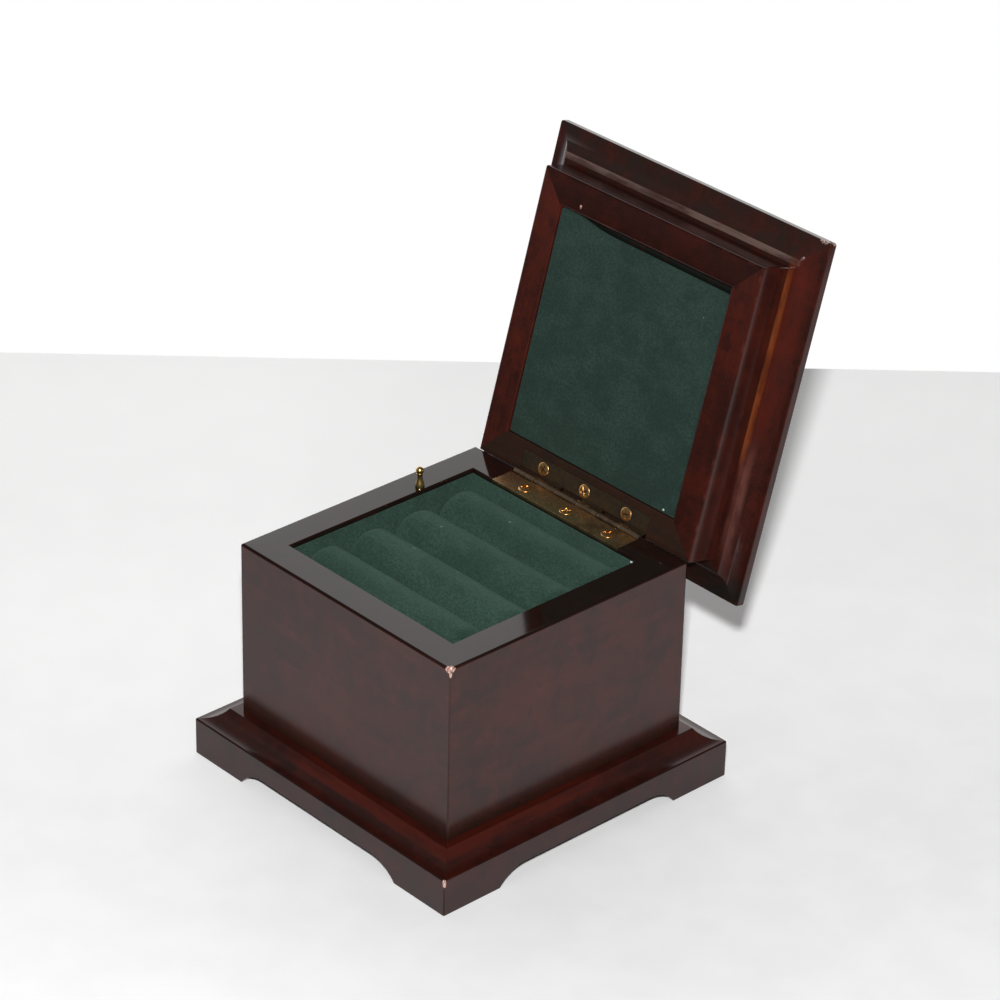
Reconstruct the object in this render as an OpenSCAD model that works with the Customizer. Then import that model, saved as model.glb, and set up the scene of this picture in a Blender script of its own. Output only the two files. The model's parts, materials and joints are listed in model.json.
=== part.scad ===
// Musical ring box: a square wooden case on a moulded plinth, with a hinged lid,
// four velvet ring rolls and a wind-up comb movement that the closed lid stops.
// Millimetres. +Z is up and -Y is the front. The lid is drawn open, where its hinge
// stops it. The modules draw each piece about the middle of the case, and the end of
// the file moves them so that the origin is under the middle of the open box.

/* [Case] */
// Outside width and depth of the case, which is square
case_w = 86; // [78:0.5:94]
// Height of the case rim above the floor
rim_z = 68.3; // [62:0.1:76]
// Thickness of the case walls and of the lid rails
wall_t = 9.5; // [8:0.1:11]
// Height of the lower ends of the walls, which stand on the plinth
wall_foot_z = 13.5; // [12:0.1:14]

/* [Plinth] */
// How far the plinth stands out past the case
plinth_over = 9.5; // [7:0.1:12]
// Height of the plinth where it meets the case
plinth_h = 15; // [14:0.1:17]
// Height of the plinth's upright outer face
plinth_face_h = 11.3; // [9:0.1:12.5]
// Width of the flat outside the cove of the plinth
plinth_margin = 0.5; // [0.2:0.1:1]
// Width of the flat between the cove of the plinth and the case
plinth_fillet = 2.6; // [1.5:0.1:4]
// How far the plinth runs in under the walls
plinth_bearing = 4.8; // [3:0.1:6]
// Height of the arch between two feet
arch_h = 4.8; // [3:0.1:6]
// Half the length of the flat part of the arch
arch_flat = 23; // [18:0.1:26]
// Radius of the rounded ends of the arch
arch_r = 11.5; // [8:0.1:14]

/* [Lid] */
// Angle from the closed lid to the open one
lid_open = 105.8; // [90:0.1:110]
// Gap between the case rim and the closed lid
lid_gap = 0.6; // [0.4:0.1:1]
// How far the lid rails are set in from the outside of the case
lid_inset = 0.4; // [0:0.1:0.8]
// Height of the lid rails
rail_h = 10; // [8:0.1:12]
// Thickness of the moulded top of the lid
top_t = 6; // [5:0.1:7]
// How far the lid top stands out past the rails
top_over = 9.9; // [7:0.1:12]
// Thickness of the upright edge of the lid top
top_edge = 3.2; // [2:0.1:4]
// Width of the chamfer along the top edge of the lid
top_chamfer = 0.8; // [0.3:0.1:1.4]
// Width of the flat between the rails and the cove of the lid top
top_fillet = 2.6; // [1.5:0.1:4]
// Depth of the velvet below the underside of the rails
lining_recess = 0.6; // [0.4:0.1:3]
// Thickness of the velvet
velvet_t = 0.6; // [0.4:0.1:1]
// Thickness of the card behind the lid velvet
card_t = 1.2; // [0.8:0.1:2]

/* [Hinge] */
// Length of the hinge
hinge_l = 51; // [40:0.5:60]
// Distance of the hinge axis in from the back of the case
axis_inset = 0.4; // [0.2:0.1:1]
// Depth of the hinge axis below the case rim
axis_drop = 0.7; // [0.5:0.1:0.9]
// Outside radius of the knuckles
knuckle_r = 1.35; // [1.2:0.05:1.5]
// Number of knuckles
knuckles = 6; // [4:2:8]
// Gap between two knuckles
knuckle_gap = 0.3; // [0.2:0.05:0.5]
// Thickness of the leaves
leaf_t = 0.9; // [0.7:0.1:1.1]
// Distance of the free edge of the upper leaf in from the back of the lid rails
upper_leaf_w = 6.7; // [6:0.1:8]
// Radius of the hinge pin
hinge_pin_r = 0.6; // [0.5:0.05:0.7]
// Distance between two neighbouring hinge screws
screw_pitch = 16.75; // [14:0.05:18]
// Distance of the lower screws in from the back of the case
lower_screw_in = 6; // [5.5:0.1:7]
// How far the lower screws stand to the right of the upper ones
lower_screw_shift = 1.3; // [0:0.1:3]
// Distance of the upper screws in from the back of the lid rails
upper_screw_in = 3.9; // [3.4:0.1:4.4]
// Radius of the hinge screw heads
hinge_head_r = 2; // [1.6:0.1:2.3]
// Radius of the hinge screw shanks
hinge_shank_r = 0.9; // [0.7:0.1:1.1]
// Length of the hinge screws
hinge_screw_l = 6; // [5:0.5:8]

/* [Ring tray] */
// Depth of the tops of the ring rolls below the rim
roll_drop = 2.2; // [1:0.1:6]
// Number of ring rolls
rolls = 4; // [3:1:5]
// Gap between one ring roll and the next
roll_gap = 0.15; // [0.1:0.05:1]
// Length of the rounded part at each end of a roll
roll_nose = 3.6; // [2:0.1:6]
// Radius of the end face of a roll
roll_end_r = 5; // [3:0.1:7]
// Gap between the ends of the rolls and the lining
roll_end_gap = 0.3; // [0.1:0.1:1]
// Depth of the top edge of the lining below the rim
lining_drop = 1.3; // [0.5:0.1:3]
// Thickness of the tray board
tray_t = 2.4; // [2:0.1:4]
// Width and height of the strips that carry the tray board
cleat = 4; // [3:0.5:6]

/* [Stop pin] */
// Distance of the stop pin in from the outside of the left wall
pin_in = 7.7; // [7:0.1:8]
// Distance of the stop pin behind the middle of the case
pin_y = 15.1; // [13.5:0.1:16]
// Height of the raised stop pin above the rim
pin_up = 6.3; // [5:0.1:8]
// How far the closed lid presses the stop pin down
pin_travel = 6; // [4.7:0.1:7.7]
// Radius of the ball on the stop pin
pin_ball_r = 1.15; // [0.9:0.05:1.3]
// Radius of the waist of the stop pin
pin_waist_r = 0.8; // [0.6:0.05:1]
// Radius of the part that slides in the wall
pin_r = 1.35; // [1.2:0.05:1.5]
// Length of the sliding part below the rim
pin_rod_l = 14; // [12:0.5:16]
// Radius of the stop wire
stop_wire_r = 0.6; // [0.4:0.05:0.7]
// Height of the arm of the stop wire while the lid is open
stop_arm_z = 27.5; // [27:0.1:29]
// Height of the ledge that the return spring stands on
spring_seat_z = 40; // [38:0.5:42]
// Number of coils in the return spring
spring_turns = 7; // [5:1:9]

/* [Bottom] */
// Thickness of the bottom panel
panel_t = 3; // [2:0.1:4]
// Half the distance between two bottom screws
bottom_screw_x = 24; // [18:0.5:28]
// Radius of the bottom and movement screw heads
big_head_r = 2.4; // [2:0.1:2.5]
// Radius of the bottom and movement screw shanks
big_shank_r = 1.2; // [1:0.1:1.4]

/* [Movement] */
// Thickness of the bedplate
bed_t = 1.6; // [1.2:0.1:2]
// Gap between the right end of the music cylinder and the middle of the case
drum_in = 0.6; // [0.3:0.1:1]
// Radius of the winding arbor
arbor_r = 2; // [1.6:0.1:2.2]
// Outside radius of the spring barrel
barrel_r = 11.9; // [11.4:0.1:12.4]
// Height of the spring barrel
barrel_h = 8.5; // [7.5:0.1:9]
// Distance of the crown teeth in from the outside of the spring barrel
crown_in = 1.1; // [1:0.1:1.3]
// Number of crown teeth on the spring barrel
crown_teeth = 27;
// Number of teeth on the cylinder pinion
pinion_teeth = 11;
// Radius of the music cylinder
drum_r = 6.5; // [6:0.1:6.6]
// Length of the pins in the music cylinder
note_h = 0.5; // [0.3:0.1:0.6]
// Number of teeth in the comb
notes = 18; // [18:1:18]
// Radius of the cylinder shaft
shaft_r = 1; // [0.8:0.1:1.2]
// Number of teeth on the cylinder wheel
wheel_teeth = 30;
// Number of teeth on the second pinion
second_teeth = 10;
// Module of the cylinder wheel and the second pinion
spur_m = 0.44;
// Number of teeth on the worm wheel
worm_teeth = 14;
// Module of the worm wheel
worm_m = 0.7;
// Distance of the worm in from the left wall
worm_in = 8; // [7.8:0.1:8.2]
// Length of the worm's thread
worm_l = 4.8; // [4:0.1:5]
// Radius of the second arbor and of the worm spindle
fine_r = 0.6; // [0.5:0.05:0.7]
// Radius swept by the air brake
brake_r = 4.6; // [4:0.1:4.7]
// Height of the air brake's wings
brake_h = 5.5; // [4.5:0.1:6]
// Gap between the bedplate and the air brake
brake_gap = 2.2; // [1.8:0.1:2.6]
// Thickness of the comb
comb_t = 0.8; // [0.6:0.1:1]
// Distance between the front edge of the comb's block and the cylinder shaft
comb_base_y = 13; // [12.5:0.1:13.5]
// Depth of the comb's block, front to back
comb_base_w = 5; // [4.5:0.1:5.5]
// Thickness of the shaft's bearing posts
post_t = 1.4; // [1.2:0.1:1.6]
// Thickness of the governor frame's plates
plate_t = 1.2; // [1:0.1:1.4]
// Length of the bottom screws
bottom_screw_l = 11; // [9:0.5:12]
// Length of the screws that hold the movement
movement_screw_l = 7.5; // [6:0.5:8]
// Length of the comb screws
comb_screw_l = 7; // [5:0.5:7]

/* [Fits] */
// Radial clearance of a shaft in its bearing
run_fit = 0.05; // [0.02:0.01:0.1]
// Gap round a piece that lies in a recess
lay_gap = 0.1; // [0.05:0.05:0.3]
// Smallest gap between pieces that pass each other
pass_gap = 0.35; // [0.3:0.05:0.5]

/* [Hidden] */
half = case_w / 2;
inner = half - wall_t;
plinth_half = half + plinth_over;
plinth_inner = half - plinth_bearing;
plinth_rise = plinth_h - plinth_face_h;
plinth_run = plinth_over - plinth_margin - plinth_fillet;
plinth_cove_r = (plinth_run * plinth_run + plinth_rise * plinth_rise) / (2 * plinth_rise);
axis_y = half - axis_inset;
axis_z = rim_z - axis_drop;
lid_z = rim_z + lid_gap;
lid_half = half - lid_inset;
top_half = lid_half + top_over;
top_z = lid_z + rail_h;
top_margin = 0.9;
top_rise = top_t - top_edge;
top_run = top_over - top_margin - top_fillet;
top_cove_r = (top_run * top_run + top_rise * top_rise) / (2 * top_rise);
// how far the open lid reaches behind the middle of the case
open_reach = axis_y + (top_z + top_t - axis_z) * sin(lid_open)
    - (top_half + axis_y - top_chamfer) * cos(lid_open);
middle_y = (open_reach - plinth_half) / 2;
panel_z = wall_foot_z - panel_t;
panel_half = plinth_inner - 2 * lay_gap;
bottom_screw_y = plinth_inner - big_head_r - pass_gap;
roll_half = inner - velvet_t - roll_end_gap;
roll_pitch = 2 * (inner - velvet_t) / rolls;
roll_r = (roll_pitch - roll_gap) / 2;
roll_z = rim_z - roll_drop - roll_r;
tray_z = roll_z - roll_r;
pin_x = -(half - pin_in);
pin_foot_z = rim_z - pin_rod_l;
bed_z = wall_foot_z;
bed_top = bed_z + bed_t;
barrel_z = bed_top + 0.4;
barrel_top = barrel_z + barrel_h;
crown_r = barrel_r - crown_in;
crown_m = 2 * crown_r / crown_teeth;
pinion_r = crown_m * pinion_teeth / 2;
pinion_x = 3.4;
pinion_w = 1.4;
arbor_x = pinion_x + crown_r;
worm_x = inner - worm_in;
drum_z = barrel_top + crown_m + pinion_r;
drum_right = -drum_in;
drum_left = 4.6 - worm_x;
note_pitch = (drum_right - drum_left - 0.5) / notes;
wheel_x = drum_left - 1.5;
left_post_x = wheel_x - 2.2;
second_y = spur_m * (wheel_teeth + second_teeth) / 2;
worm_wheel_r = worm_m * worm_teeth / 2;
worm_lead = PI * worm_m;
worm_r = pin_y - second_y - worm_wheel_r;
brake_z = bed_top + brake_gap;
comb_shank_r = 1.1;
governor_shank_r = 1;
clutch_r = arbor_r + 1.2;
clutch_l = 1.9;
governor_left = -(worm_x + 4.3);
governor_right = drum_left + 1.5;
governor_y = second_y - 2.2;
comb_tip_y = drum_r + note_h + 0.4;
comb_back_y = comb_base_y + comb_base_w;
bed_left = governor_left - 0.7;
bed_right = arbor_x + barrel_r + 0.9;
bed_front = -comb_back_y - 0.5;
bed_back = pin_y + brake_r + 0.8;
// places of the movement screws: in from the bed's left and right ends, and from the drum's axis
left_screw_in = 3.3;
left_screw_y = -14;
right_screw_in = 4.5;
right_screw_y = -14.5;
back_screw_x = 2;
back_screw_y = 16.5;
movement_screws_at = [
    [governor_left + left_screw_in, left_screw_y],
    [bed_right - right_screw_in, right_screw_y],
    [back_screw_x, back_screw_y]
];
comb_screw_in = 3.9;
comb_screw_y = -(comb_base_y + comb_base_w / 2);
comb_screws_at = [
    [drum_left + comb_screw_in, comb_screw_y],
    [drum_right - comb_screw_in, comb_screw_y]
];
arbor_foot_z = 4.5;
cover_t = 0.8;
governor_screw_at = [1.3 - worm_x, second_y - 0.4];
wood = [0.24, 0.09, 0.07];
velvet = [0.1, 0.26, 0.2];
brass = [0.62, 0.48, 0.2];
steel = [0.6, 0.6, 0.62];
zinc = [0.68, 0.68, 0.66];

// ---- helpers ----

// One side of a mitred square frame, drawn as the front side
module mitred(outer_half, inner_half, z0, z1) {
    translate([0, 0, z0])
        linear_extrude(z1 - z0)
            polygon([[-outer_half, -outer_half], [outer_half, -outer_half],
                     [inner_half, -inner_half], [-inner_half, -inner_half]]);
}

// A rod along X
module rod_x(x0, x1, r) {
    translate([x0, 0, 0])
        rotate([0, 90, 0])
            cylinder(r = r, h = x1 - x0, $fn = 48);
}

// Turns a piece drawn with the lid closed into the open lid
module opened() {
    translate([0, axis_y, axis_z])
        rotate([-lid_open, 0, 0])
            translate([0, -axis_y, -axis_z])
                children();
}

// A flat-headed wood screw with its head at z = 0 and a cross recess
module wood_screw(head_r, shank_r, length) {
    cross = head_r * 1.1;
    difference() {
        union() {
            translate([0, 0, -leaf_t]) cylinder(r1 = shank_r, r2 = head_r, h = leaf_t, $fn = 48);
            translate([0, 0, -length]) cylinder(r = shank_r, h = length - leaf_t / 2, $fn = 32);
        }
        translate([-cross / 2, -0.25, -0.5]) cube([cross, 0.5, 1]);
        translate([-0.25, -cross / 2, -0.5]) cube([0.5, cross, 1]);
    }
}

// The hole for a wood screw
module wood_screw_hole(head_r, shank_r, length) {
    translate([0, 0, -leaf_t - run_fit])
        cylinder(r1 = shank_r + run_fit, r2 = head_r + 2 * run_fit, h = leaf_t + 2 * run_fit, $fn = 48);
    translate([0, 0, -length - run_fit]) cylinder(r = shank_r + run_fit, h = length, $fn = 32);
}

// A pan-headed machine screw standing on its head, with the head's seat at z = 0
module pan_screw(head_r, shank_r, head_h, length) {
    slot = head_r * 3;
    difference() {
        union() {
            translate([0, 0, -head_h]) cylinder(r = head_r, h = head_h, $fn = 48);
            cylinder(r = shank_r, h = length, $fn = 32);
        }
        translate([-slot / 2, -0.3, -head_h - 1]) cube([slot, 0.6, 1.5]);
    }
}

// A flat gear of thickness h with its first tooth along +X
module gear(count, root_r, tip_r, root_w, tip_w, h, bore_r) {
    difference() {
        union() {
            cylinder(r = root_r, h = h, $fn = 64);
            linear_extrude(h)
                for (i = [0 : count - 1])
                    rotate(i * 360 / count)
                        polygon([[root_r - 0.2, -root_w / 2], [tip_r, -tip_w / 2],
                                 [tip_r, tip_w / 2], [root_r - 0.2, root_w / 2]]);
        }
        translate([0, 0, -1]) cylinder(r = bore_r, h = h + 2, $fn = 32);
    }
}

// A round-wire coil standing on z = 0
module coil(mean_r, wire_r, length, turns) {
    steps = 20;
    sides = 6;
    rings = turns * steps;
    rise = length - 2 * wire_r;
    pts = [for (i = [0 : rings]) for (j = [0 : sides - 1])
        let (a = i * 360 / steps, b = j * 360 / sides,
             r = mean_r + wire_r * cos(b),
             z = wire_r + rise * i / rings + wire_r * sin(b))
        [r * cos(a), r * sin(a), z]];
    sidefaces = [for (i = [0 : rings - 1]) for (j = [0 : sides - 1])
        let (k = (j + 1) % sides)
        [i * sides + j, i * sides + k, (i + 1) * sides + k, (i + 1) * sides + j]];
    startface = [[for (j = [sides - 1 : -1 : 0]) j]];
    endface = [[for (j = [0 : sides - 1]) rings * sides + j]];
    polyhedron(points = pts, faces = concat(sidefaces, startface, endface), convexity = 4);
}

// ---- plinth ----

module plinth_side() {
    color(wood)
    difference() {
        mitred(plinth_half, plinth_inner, 0, plinth_h);
        // the walls stand in this step
        translate([-case_w, -half, wall_foot_z]) cube([2 * case_w, wall_t, plinth_h]);
        // cove along the upper outer edge
        translate([0, -(plinth_half - plinth_margin), plinth_face_h + plinth_cove_r])
            rod_x(-case_w, case_w, plinth_cove_r);
        // arch between the feet
        translate([-arch_flat, -case_w, -1]) cube([2 * arch_flat, case_w, arch_h + 1]);
        for (s = [-1, 1])
            translate([s * arch_flat, -case_w / 3, arch_h - arch_r])
                rotate([90, 0, 0])
                    cylinder(r = arch_r, h = case_w / 2, $fn = 96);
    }
}
module plinth_front() { plinth_side(); }
module plinth_right() { rotate(90) plinth_side(); }
module plinth_back() { rotate(180) plinth_side(); }
module plinth_left() { rotate(-90) plinth_side(); }

// ---- case walls ----

module case_side() {
    mitred(half, inner, wall_foot_z, rim_z);
}
module bottom_screw_holes(side) {
    for (s = [-1, 1])
        translate([s * bottom_screw_x, side * bottom_screw_y, wall_foot_z - 1])
            cylinder(r = big_shank_r + run_fit, h = 10, $fn = 32);
}
module case_front() {
    color(wood)
    difference() {
        case_side();
        bottom_screw_holes(-1);
    }
}
module case_right() {
    color(wood) rotate(90) case_side();
}
module case_left() {
    color(wood)
    difference() {
        rotate(-90) case_side();
        // bore for the stop pin and its spring
        translate([pin_x, pin_y, spring_seat_z])
            cylinder(r = pin_r + run_fit, h = rim_z, $fn = 48);
        // hole for the stop wire
        translate([pin_x, pin_y, spring_seat_z - 5])
            cylinder(r = stop_wire_r + 2 * run_fit, h = 6, $fn = 32);
        // slot in which the arm of the stop wire travels
        translate([pin_x - stop_wire_r - pass_gap, pin_y - stop_wire_r - pass_gap,
                   stop_arm_z - pin_travel - stop_wire_r - pass_gap])
            cube([wall_t, 2 * (stop_wire_r + pass_gap),
                  spring_seat_z - 2 - stop_arm_z + pin_travel + stop_wire_r + pass_gap]);
    }
}
module case_back() {
    color(wood)
    difference() {
        rotate(180) case_side();
        bottom_screw_holes(1);
        // recess for the lower leaf
        translate([-hinge_l / 2 - lay_gap, inner - 1, rim_z - leaf_t])
            cube([hinge_l + 2 * lay_gap, wall_t, 2 * leaf_t]);
        // room for the knuckles
        translate([-hinge_l / 2 - lay_gap, axis_y - knuckle_r - pass_gap,
                   axis_z - knuckle_r - pass_gap])
            cube([hinge_l + 2 * lay_gap, wall_t, wall_t]);
        for (i = [-1 : 1])
            translate([i * screw_pitch + lower_screw_shift, half - lower_screw_in, rim_z])
                wood_screw_hole(hinge_head_r, hinge_shank_r, hinge_screw_l);
    }
}

// ---- bottom ----

module bottom_panel() {
    color([0.36, 0.22, 0.13])
    difference() {
        translate([-panel_half, -panel_half, panel_z])
            cube([2 * panel_half, 2 * panel_half, panel_t]);
        // clearance hole for the boss round the winding arbor
        translate([arbor_x, 0, panel_z - 1]) cylinder(r = 5, h = panel_t + 2, $fn = 64);
        for (p = movement_screws_at)
            translate([p[0], p[1], panel_z - 1])
                cylinder(r = big_shank_r + run_fit, h = panel_t + 2, $fn = 32);
        for (sx = [-1, 1]) for (sy = [-1, 1])
            translate([sx * bottom_screw_x, sy * bottom_screw_y, panel_z - 1])
                cylinder(r = big_shank_r + run_fit, h = panel_t + 2, $fn = 32);
    }
}
module bottom_screws() {
    color(brass)
    for (sx = [-1, 1]) for (sy = [-1, 1])
        translate([sx * bottom_screw_x, sy * bottom_screw_y, panel_z])
            pan_screw(big_head_r, big_shank_r, 1.1, bottom_screw_l);
}

// ---- ring tray ----

module tray_board() {
    w = inner - 2 * lay_gap;
    color([0.55, 0.42, 0.28])
    translate([-w, -w, tray_z - tray_t]) cube([2 * w, 2 * w, tray_t]);
}
module tray_cleats() {
    color([0.55, 0.42, 0.28])
    for (s = [-1, 1])
        translate([-inner + 4, s > 0 ? inner - cleat : -inner, tray_z - tray_t - cleat])
            cube([2 * inner - 8, cleat, cleat]);
}
module tray_lining() {
    w = inner - velvet_t;
    color(velvet)
    difference() {
        translate([-inner, -inner, tray_z])
            cube([2 * inner, 2 * inner, rim_z - lining_drop - tray_z]);
        translate([-w, -w, tray_z - 1]) cube([2 * w, 2 * w, rim_z]);
    }
}
module ring_roll(i) {
    color(velvet)
    translate([0, (i - (rolls + 1) / 2) * roll_pitch, roll_z]) {
        rod_x(-roll_half + roll_nose, roll_half - roll_nose, roll_r);
        for (s = [-1, 1])
            translate([s * (roll_half - roll_nose), 0, 0])
                rotate([0, s * 90, 0])
                    cylinder(r1 = roll_r, r2 = roll_end_r, h = roll_nose, $fn = 48);
    }
}
module ring_roll_1() { ring_roll(1); }
module ring_roll_2() { ring_roll(2); }
module ring_roll_3() { ring_roll(3); }
module ring_roll_4() { ring_roll(4); }

// ---- hinge ----

// Runs its children at the middle of each knuckle of one leaf: 0 lower, 1 upper
module each_knuckle(which) {
    step = hinge_l / knuckles;
    for (i = [0 : knuckles - 1])
        if (i % 2 == which)
            translate([-hinge_l / 2 + (i + 0.5) * step, axis_y, axis_z])
                children();
}
module knuckle() {
    w = hinge_l / knuckles - knuckle_gap;
    rod_x(-w / 2, w / 2, knuckle_r);
}
module pin_bore() {
    translate([0, axis_y, axis_z]) rod_x(-case_w, case_w, hinge_pin_r + run_fit);
}
module hinge_leaf_lower() {
    w = hinge_l / knuckles - knuckle_gap;
    edge_y = axis_y - knuckle_r - pass_gap;
    color(brass)
    difference() {
        union() {
            translate([-hinge_l / 2, inner, rim_z - leaf_t])
                cube([hinge_l, edge_y - inner, leaf_t]);
            each_knuckle(0) {
                knuckle();
                translate([-w / 2, edge_y - axis_y - 0.5, rim_z - leaf_t - axis_z])
                    cube([w, knuckle_r + pass_gap + 0.5, leaf_t]);
            }
        }
        pin_bore();
        for (i = [-1 : 1])
            translate([i * screw_pitch + lower_screw_shift, half - lower_screw_in, rim_z])
                wood_screw_hole(hinge_head_r, hinge_shank_r, hinge_screw_l);
    }
}
module hinge_leaf_upper() {
    w = hinge_l / knuckles - knuckle_gap;
    edge_y = axis_y - knuckle_r - pass_gap;
    color(brass)
    opened()
    difference() {
        union() {
            translate([-hinge_l / 2, lid_half - upper_leaf_w, lid_z])
                cube([hinge_l, edge_y - lid_half + upper_leaf_w, leaf_t]);
            each_knuckle(1) {
                knuckle();
                // the leaf is cranked down to its knuckles
                translate([-w / 2, -knuckle_r, 0]) cube([w, knuckle_r, lid_z + leaf_t - axis_z]);
                translate([-w / 2, edge_y - axis_y - 0.5, lid_z - axis_z]) cube([w, 1, leaf_t]);
            }
        }
        pin_bore();
        for (i = [-1 : 1])
            translate([i * screw_pitch, lid_half - upper_screw_in, lid_z])
                rotate([180, 0, 0]) wood_screw_hole(hinge_head_r, hinge_shank_r, hinge_screw_l);
    }
}
module hinge_pin() {
    color(brass)
    translate([0, axis_y, axis_z]) rod_x(-hinge_l / 2, hinge_l / 2, hinge_pin_r);
}
module hinge_screws_lower() {
    color([0.72, 0.45, 0.2])
    for (i = [-1 : 1])
        translate([i * screw_pitch + lower_screw_shift, half - lower_screw_in, rim_z])
            wood_screw(hinge_head_r, hinge_shank_r, hinge_screw_l);
}
module hinge_screws_upper() {
    color([0.72, 0.45, 0.2])
    opened()
    for (i = [-1 : 1])
        translate([i * screw_pitch, lid_half - upper_screw_in, lid_z])
            rotate([180, 0, 0]) wood_screw(hinge_head_r, hinge_shank_r, hinge_screw_l);
}

// ---- lid ----

module lid_side() {
    mitred(lid_half, inner, lid_z, top_z);
}
module lid_rail_front() { color(wood) opened() lid_side(); }
module lid_rail_right() { color(wood) opened() rotate(90) lid_side(); }
module lid_rail_left() { color(wood) opened() rotate(-90) lid_side(); }
module lid_rail_back() {
    color(wood)
    opened()
    difference() {
        rotate(180) lid_side();
        // recess for the upper leaf
        translate([-hinge_l / 2 - lay_gap, lid_half - upper_leaf_w - lay_gap, lid_z - leaf_t])
            cube([hinge_l + 2 * lay_gap, wall_t, 2 * leaf_t]);
        // room for the knuckles
        translate([-hinge_l / 2 - lay_gap, axis_y - knuckle_r - pass_gap, lid_z - 1])
            cube([hinge_l + 2 * lay_gap, wall_t, axis_z + knuckle_r + pass_gap - lid_z + 1]);
        for (i = [-1 : 1])
            translate([i * screw_pitch, lid_half - upper_screw_in, lid_z])
                rotate([180, 0, 0]) wood_screw_hole(hinge_head_r, hinge_shank_r, hinge_screw_l);
    }
}
module lid_top() {
    field = inner - lay_gap;
    field_z = lid_z + lining_recess + velvet_t + card_t;
    color(wood)
    opened()
    difference() {
        union() {
            translate([-top_half, -top_half, top_z]) cube([2 * top_half, 2 * top_half, top_t]);
            translate([-field, -field, field_z]) cube([2 * field, 2 * field, top_z - field_z + 1]);
        }
        for (a = [0 : 90 : 270])
            rotate(a) {
                translate([0, -(top_half - top_margin), top_z + top_rise - top_cove_r])
                    rod_x(-2 * top_half, 2 * top_half, top_cove_r);
                translate([0, -top_half, top_z + top_t - top_chamfer])
                    rotate([45, 0, 0])
                        translate([-2 * top_half, -6, 0])
                            cube([4 * top_half, 12, 6]);
            }
    }
}
module lid_card() {
    w = inner - 2 * lay_gap;
    color([0.5, 0.45, 0.36])
    opened()
    translate([-w, -w, lid_z + lining_recess + velvet_t]) cube([2 * w, 2 * w, card_t]);
}
module lid_velvet() {
    w = inner - 2 * lay_gap;
    color(velvet)
    opened()
    translate([-w, -w, lid_z + lining_recess]) cube([2 * w, 2 * w, velvet_t]);
}

// ---- stop pin ----

module stop_pin() {
    ball_z = pin_up - pin_ball_r;
    color(brass)
    translate([pin_x, pin_y, rim_z])
    difference() {
        union() {
            translate([0, 0, ball_z]) sphere(r = pin_ball_r, $fn = 48);
            rotate_extrude($fn = 48)
                polygon([[0, -pin_rod_l], [pin_r, -pin_rod_l], [pin_r, 0.3],
                         [pin_r * 0.78, 1.4], [pin_waist_r, 3], [pin_waist_r, 4.2],
                         [pin_waist_r * 1.2, ball_z - 0.7], [0, ball_z]]);
        }
        translate([0, 0, -pin_rod_l - 1]) cylinder(r = stop_wire_r + run_fit / 2, h = 4, $fn = 32);
    }
}
module stop_wire() {
    arm_end = -(worm_x + brake_r + pass_gap);
    color(steel)
    translate([0, pin_y, 0]) {
        translate([pin_x, 0, stop_arm_z])
            cylinder(r = stop_wire_r, h = pin_foot_z + 2.5 - stop_arm_z, $fn = 32);
        translate([pin_x, 0, stop_arm_z]) sphere(r = stop_wire_r, $fn = 32);
        translate([0, 0, stop_arm_z]) rod_x(pin_x, arm_end, stop_wire_r);
    }
}
module stop_pin_spring() {
    color(steel)
    translate([pin_x, pin_y, spring_seat_z + 0.02])
        coil(1.02, 0.22, pin_foot_z - spring_seat_z - 0.04, spring_turns);
}

// ---- movement ----

module movement_bedplate() {
    post_w = 2 * (shaft_r + 2);
    boss_h = 4;
    color(zinc)
    difference() {
        union() {
            translate([bed_left, bed_front, bed_z])
                cube([bed_right - bed_left, bed_back - bed_front, bed_t]);
            // bearing posts of the cylinder shaft
            for (x = [left_post_x, 0])
                translate([x, -post_w / 2, bed_z]) cube([post_t, post_w, drum_z + post_w / 2 - bed_z]);
            // block under the comb
            translate([drum_left - 0.6, -comb_back_y, bed_z])
                cube([drum_right - drum_left + 1.7, comb_base_w, drum_z - comb_t / 2 - bed_z]);
            // boss round the winding arbor
            translate([arbor_x, 0, panel_z + 0.4]) cylinder(r = 4.6, h = boss_h, $fn = 64);
            for (p = movement_screws_at)
                translate([p[0], p[1], bed_z]) cylinder(r = 2.8, h = 6, $fn = 48);
        }
        translate([0, 0, drum_z]) rod_x(-case_w, pinion_x + 10, shaft_r + run_fit);
        translate([arbor_x, 0, panel_z - 1])
            cylinder(r = arbor_r + run_fit, h = 3 * boss_h, $fn = 48);
        // pocket of the clutch spring
        translate([arbor_x, 0, panel_z - 1]) cylinder(r = clutch_r, h = clutch_l + 1.7, $fn = 48);
        for (p = movement_screws_at)
            translate([p[0], p[1], panel_z - 1])
                cylinder(r = big_shank_r + run_fit, h = movement_screw_l + 1.5, $fn = 32);
        for (p = comb_screws_at)
            translate([p[0], p[1], drum_z + comb_t / 2 - comb_screw_l - 0.45])
                cylinder(r = comb_shank_r + run_fit, h = 2 * comb_screw_l, $fn = 32);
        translate([governor_screw_at[0], governor_screw_at[1], bed_z - bed_t])
            cylinder(r = governor_shank_r + run_fit, h = 3 * bed_t, $fn = 32);
    }
}
module movement_screws() {
    color(steel)
    for (p = movement_screws_at)
        translate([p[0], p[1], panel_z]) pan_screw(big_head_r, big_shank_r, 1.1, movement_screw_l);
}
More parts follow.
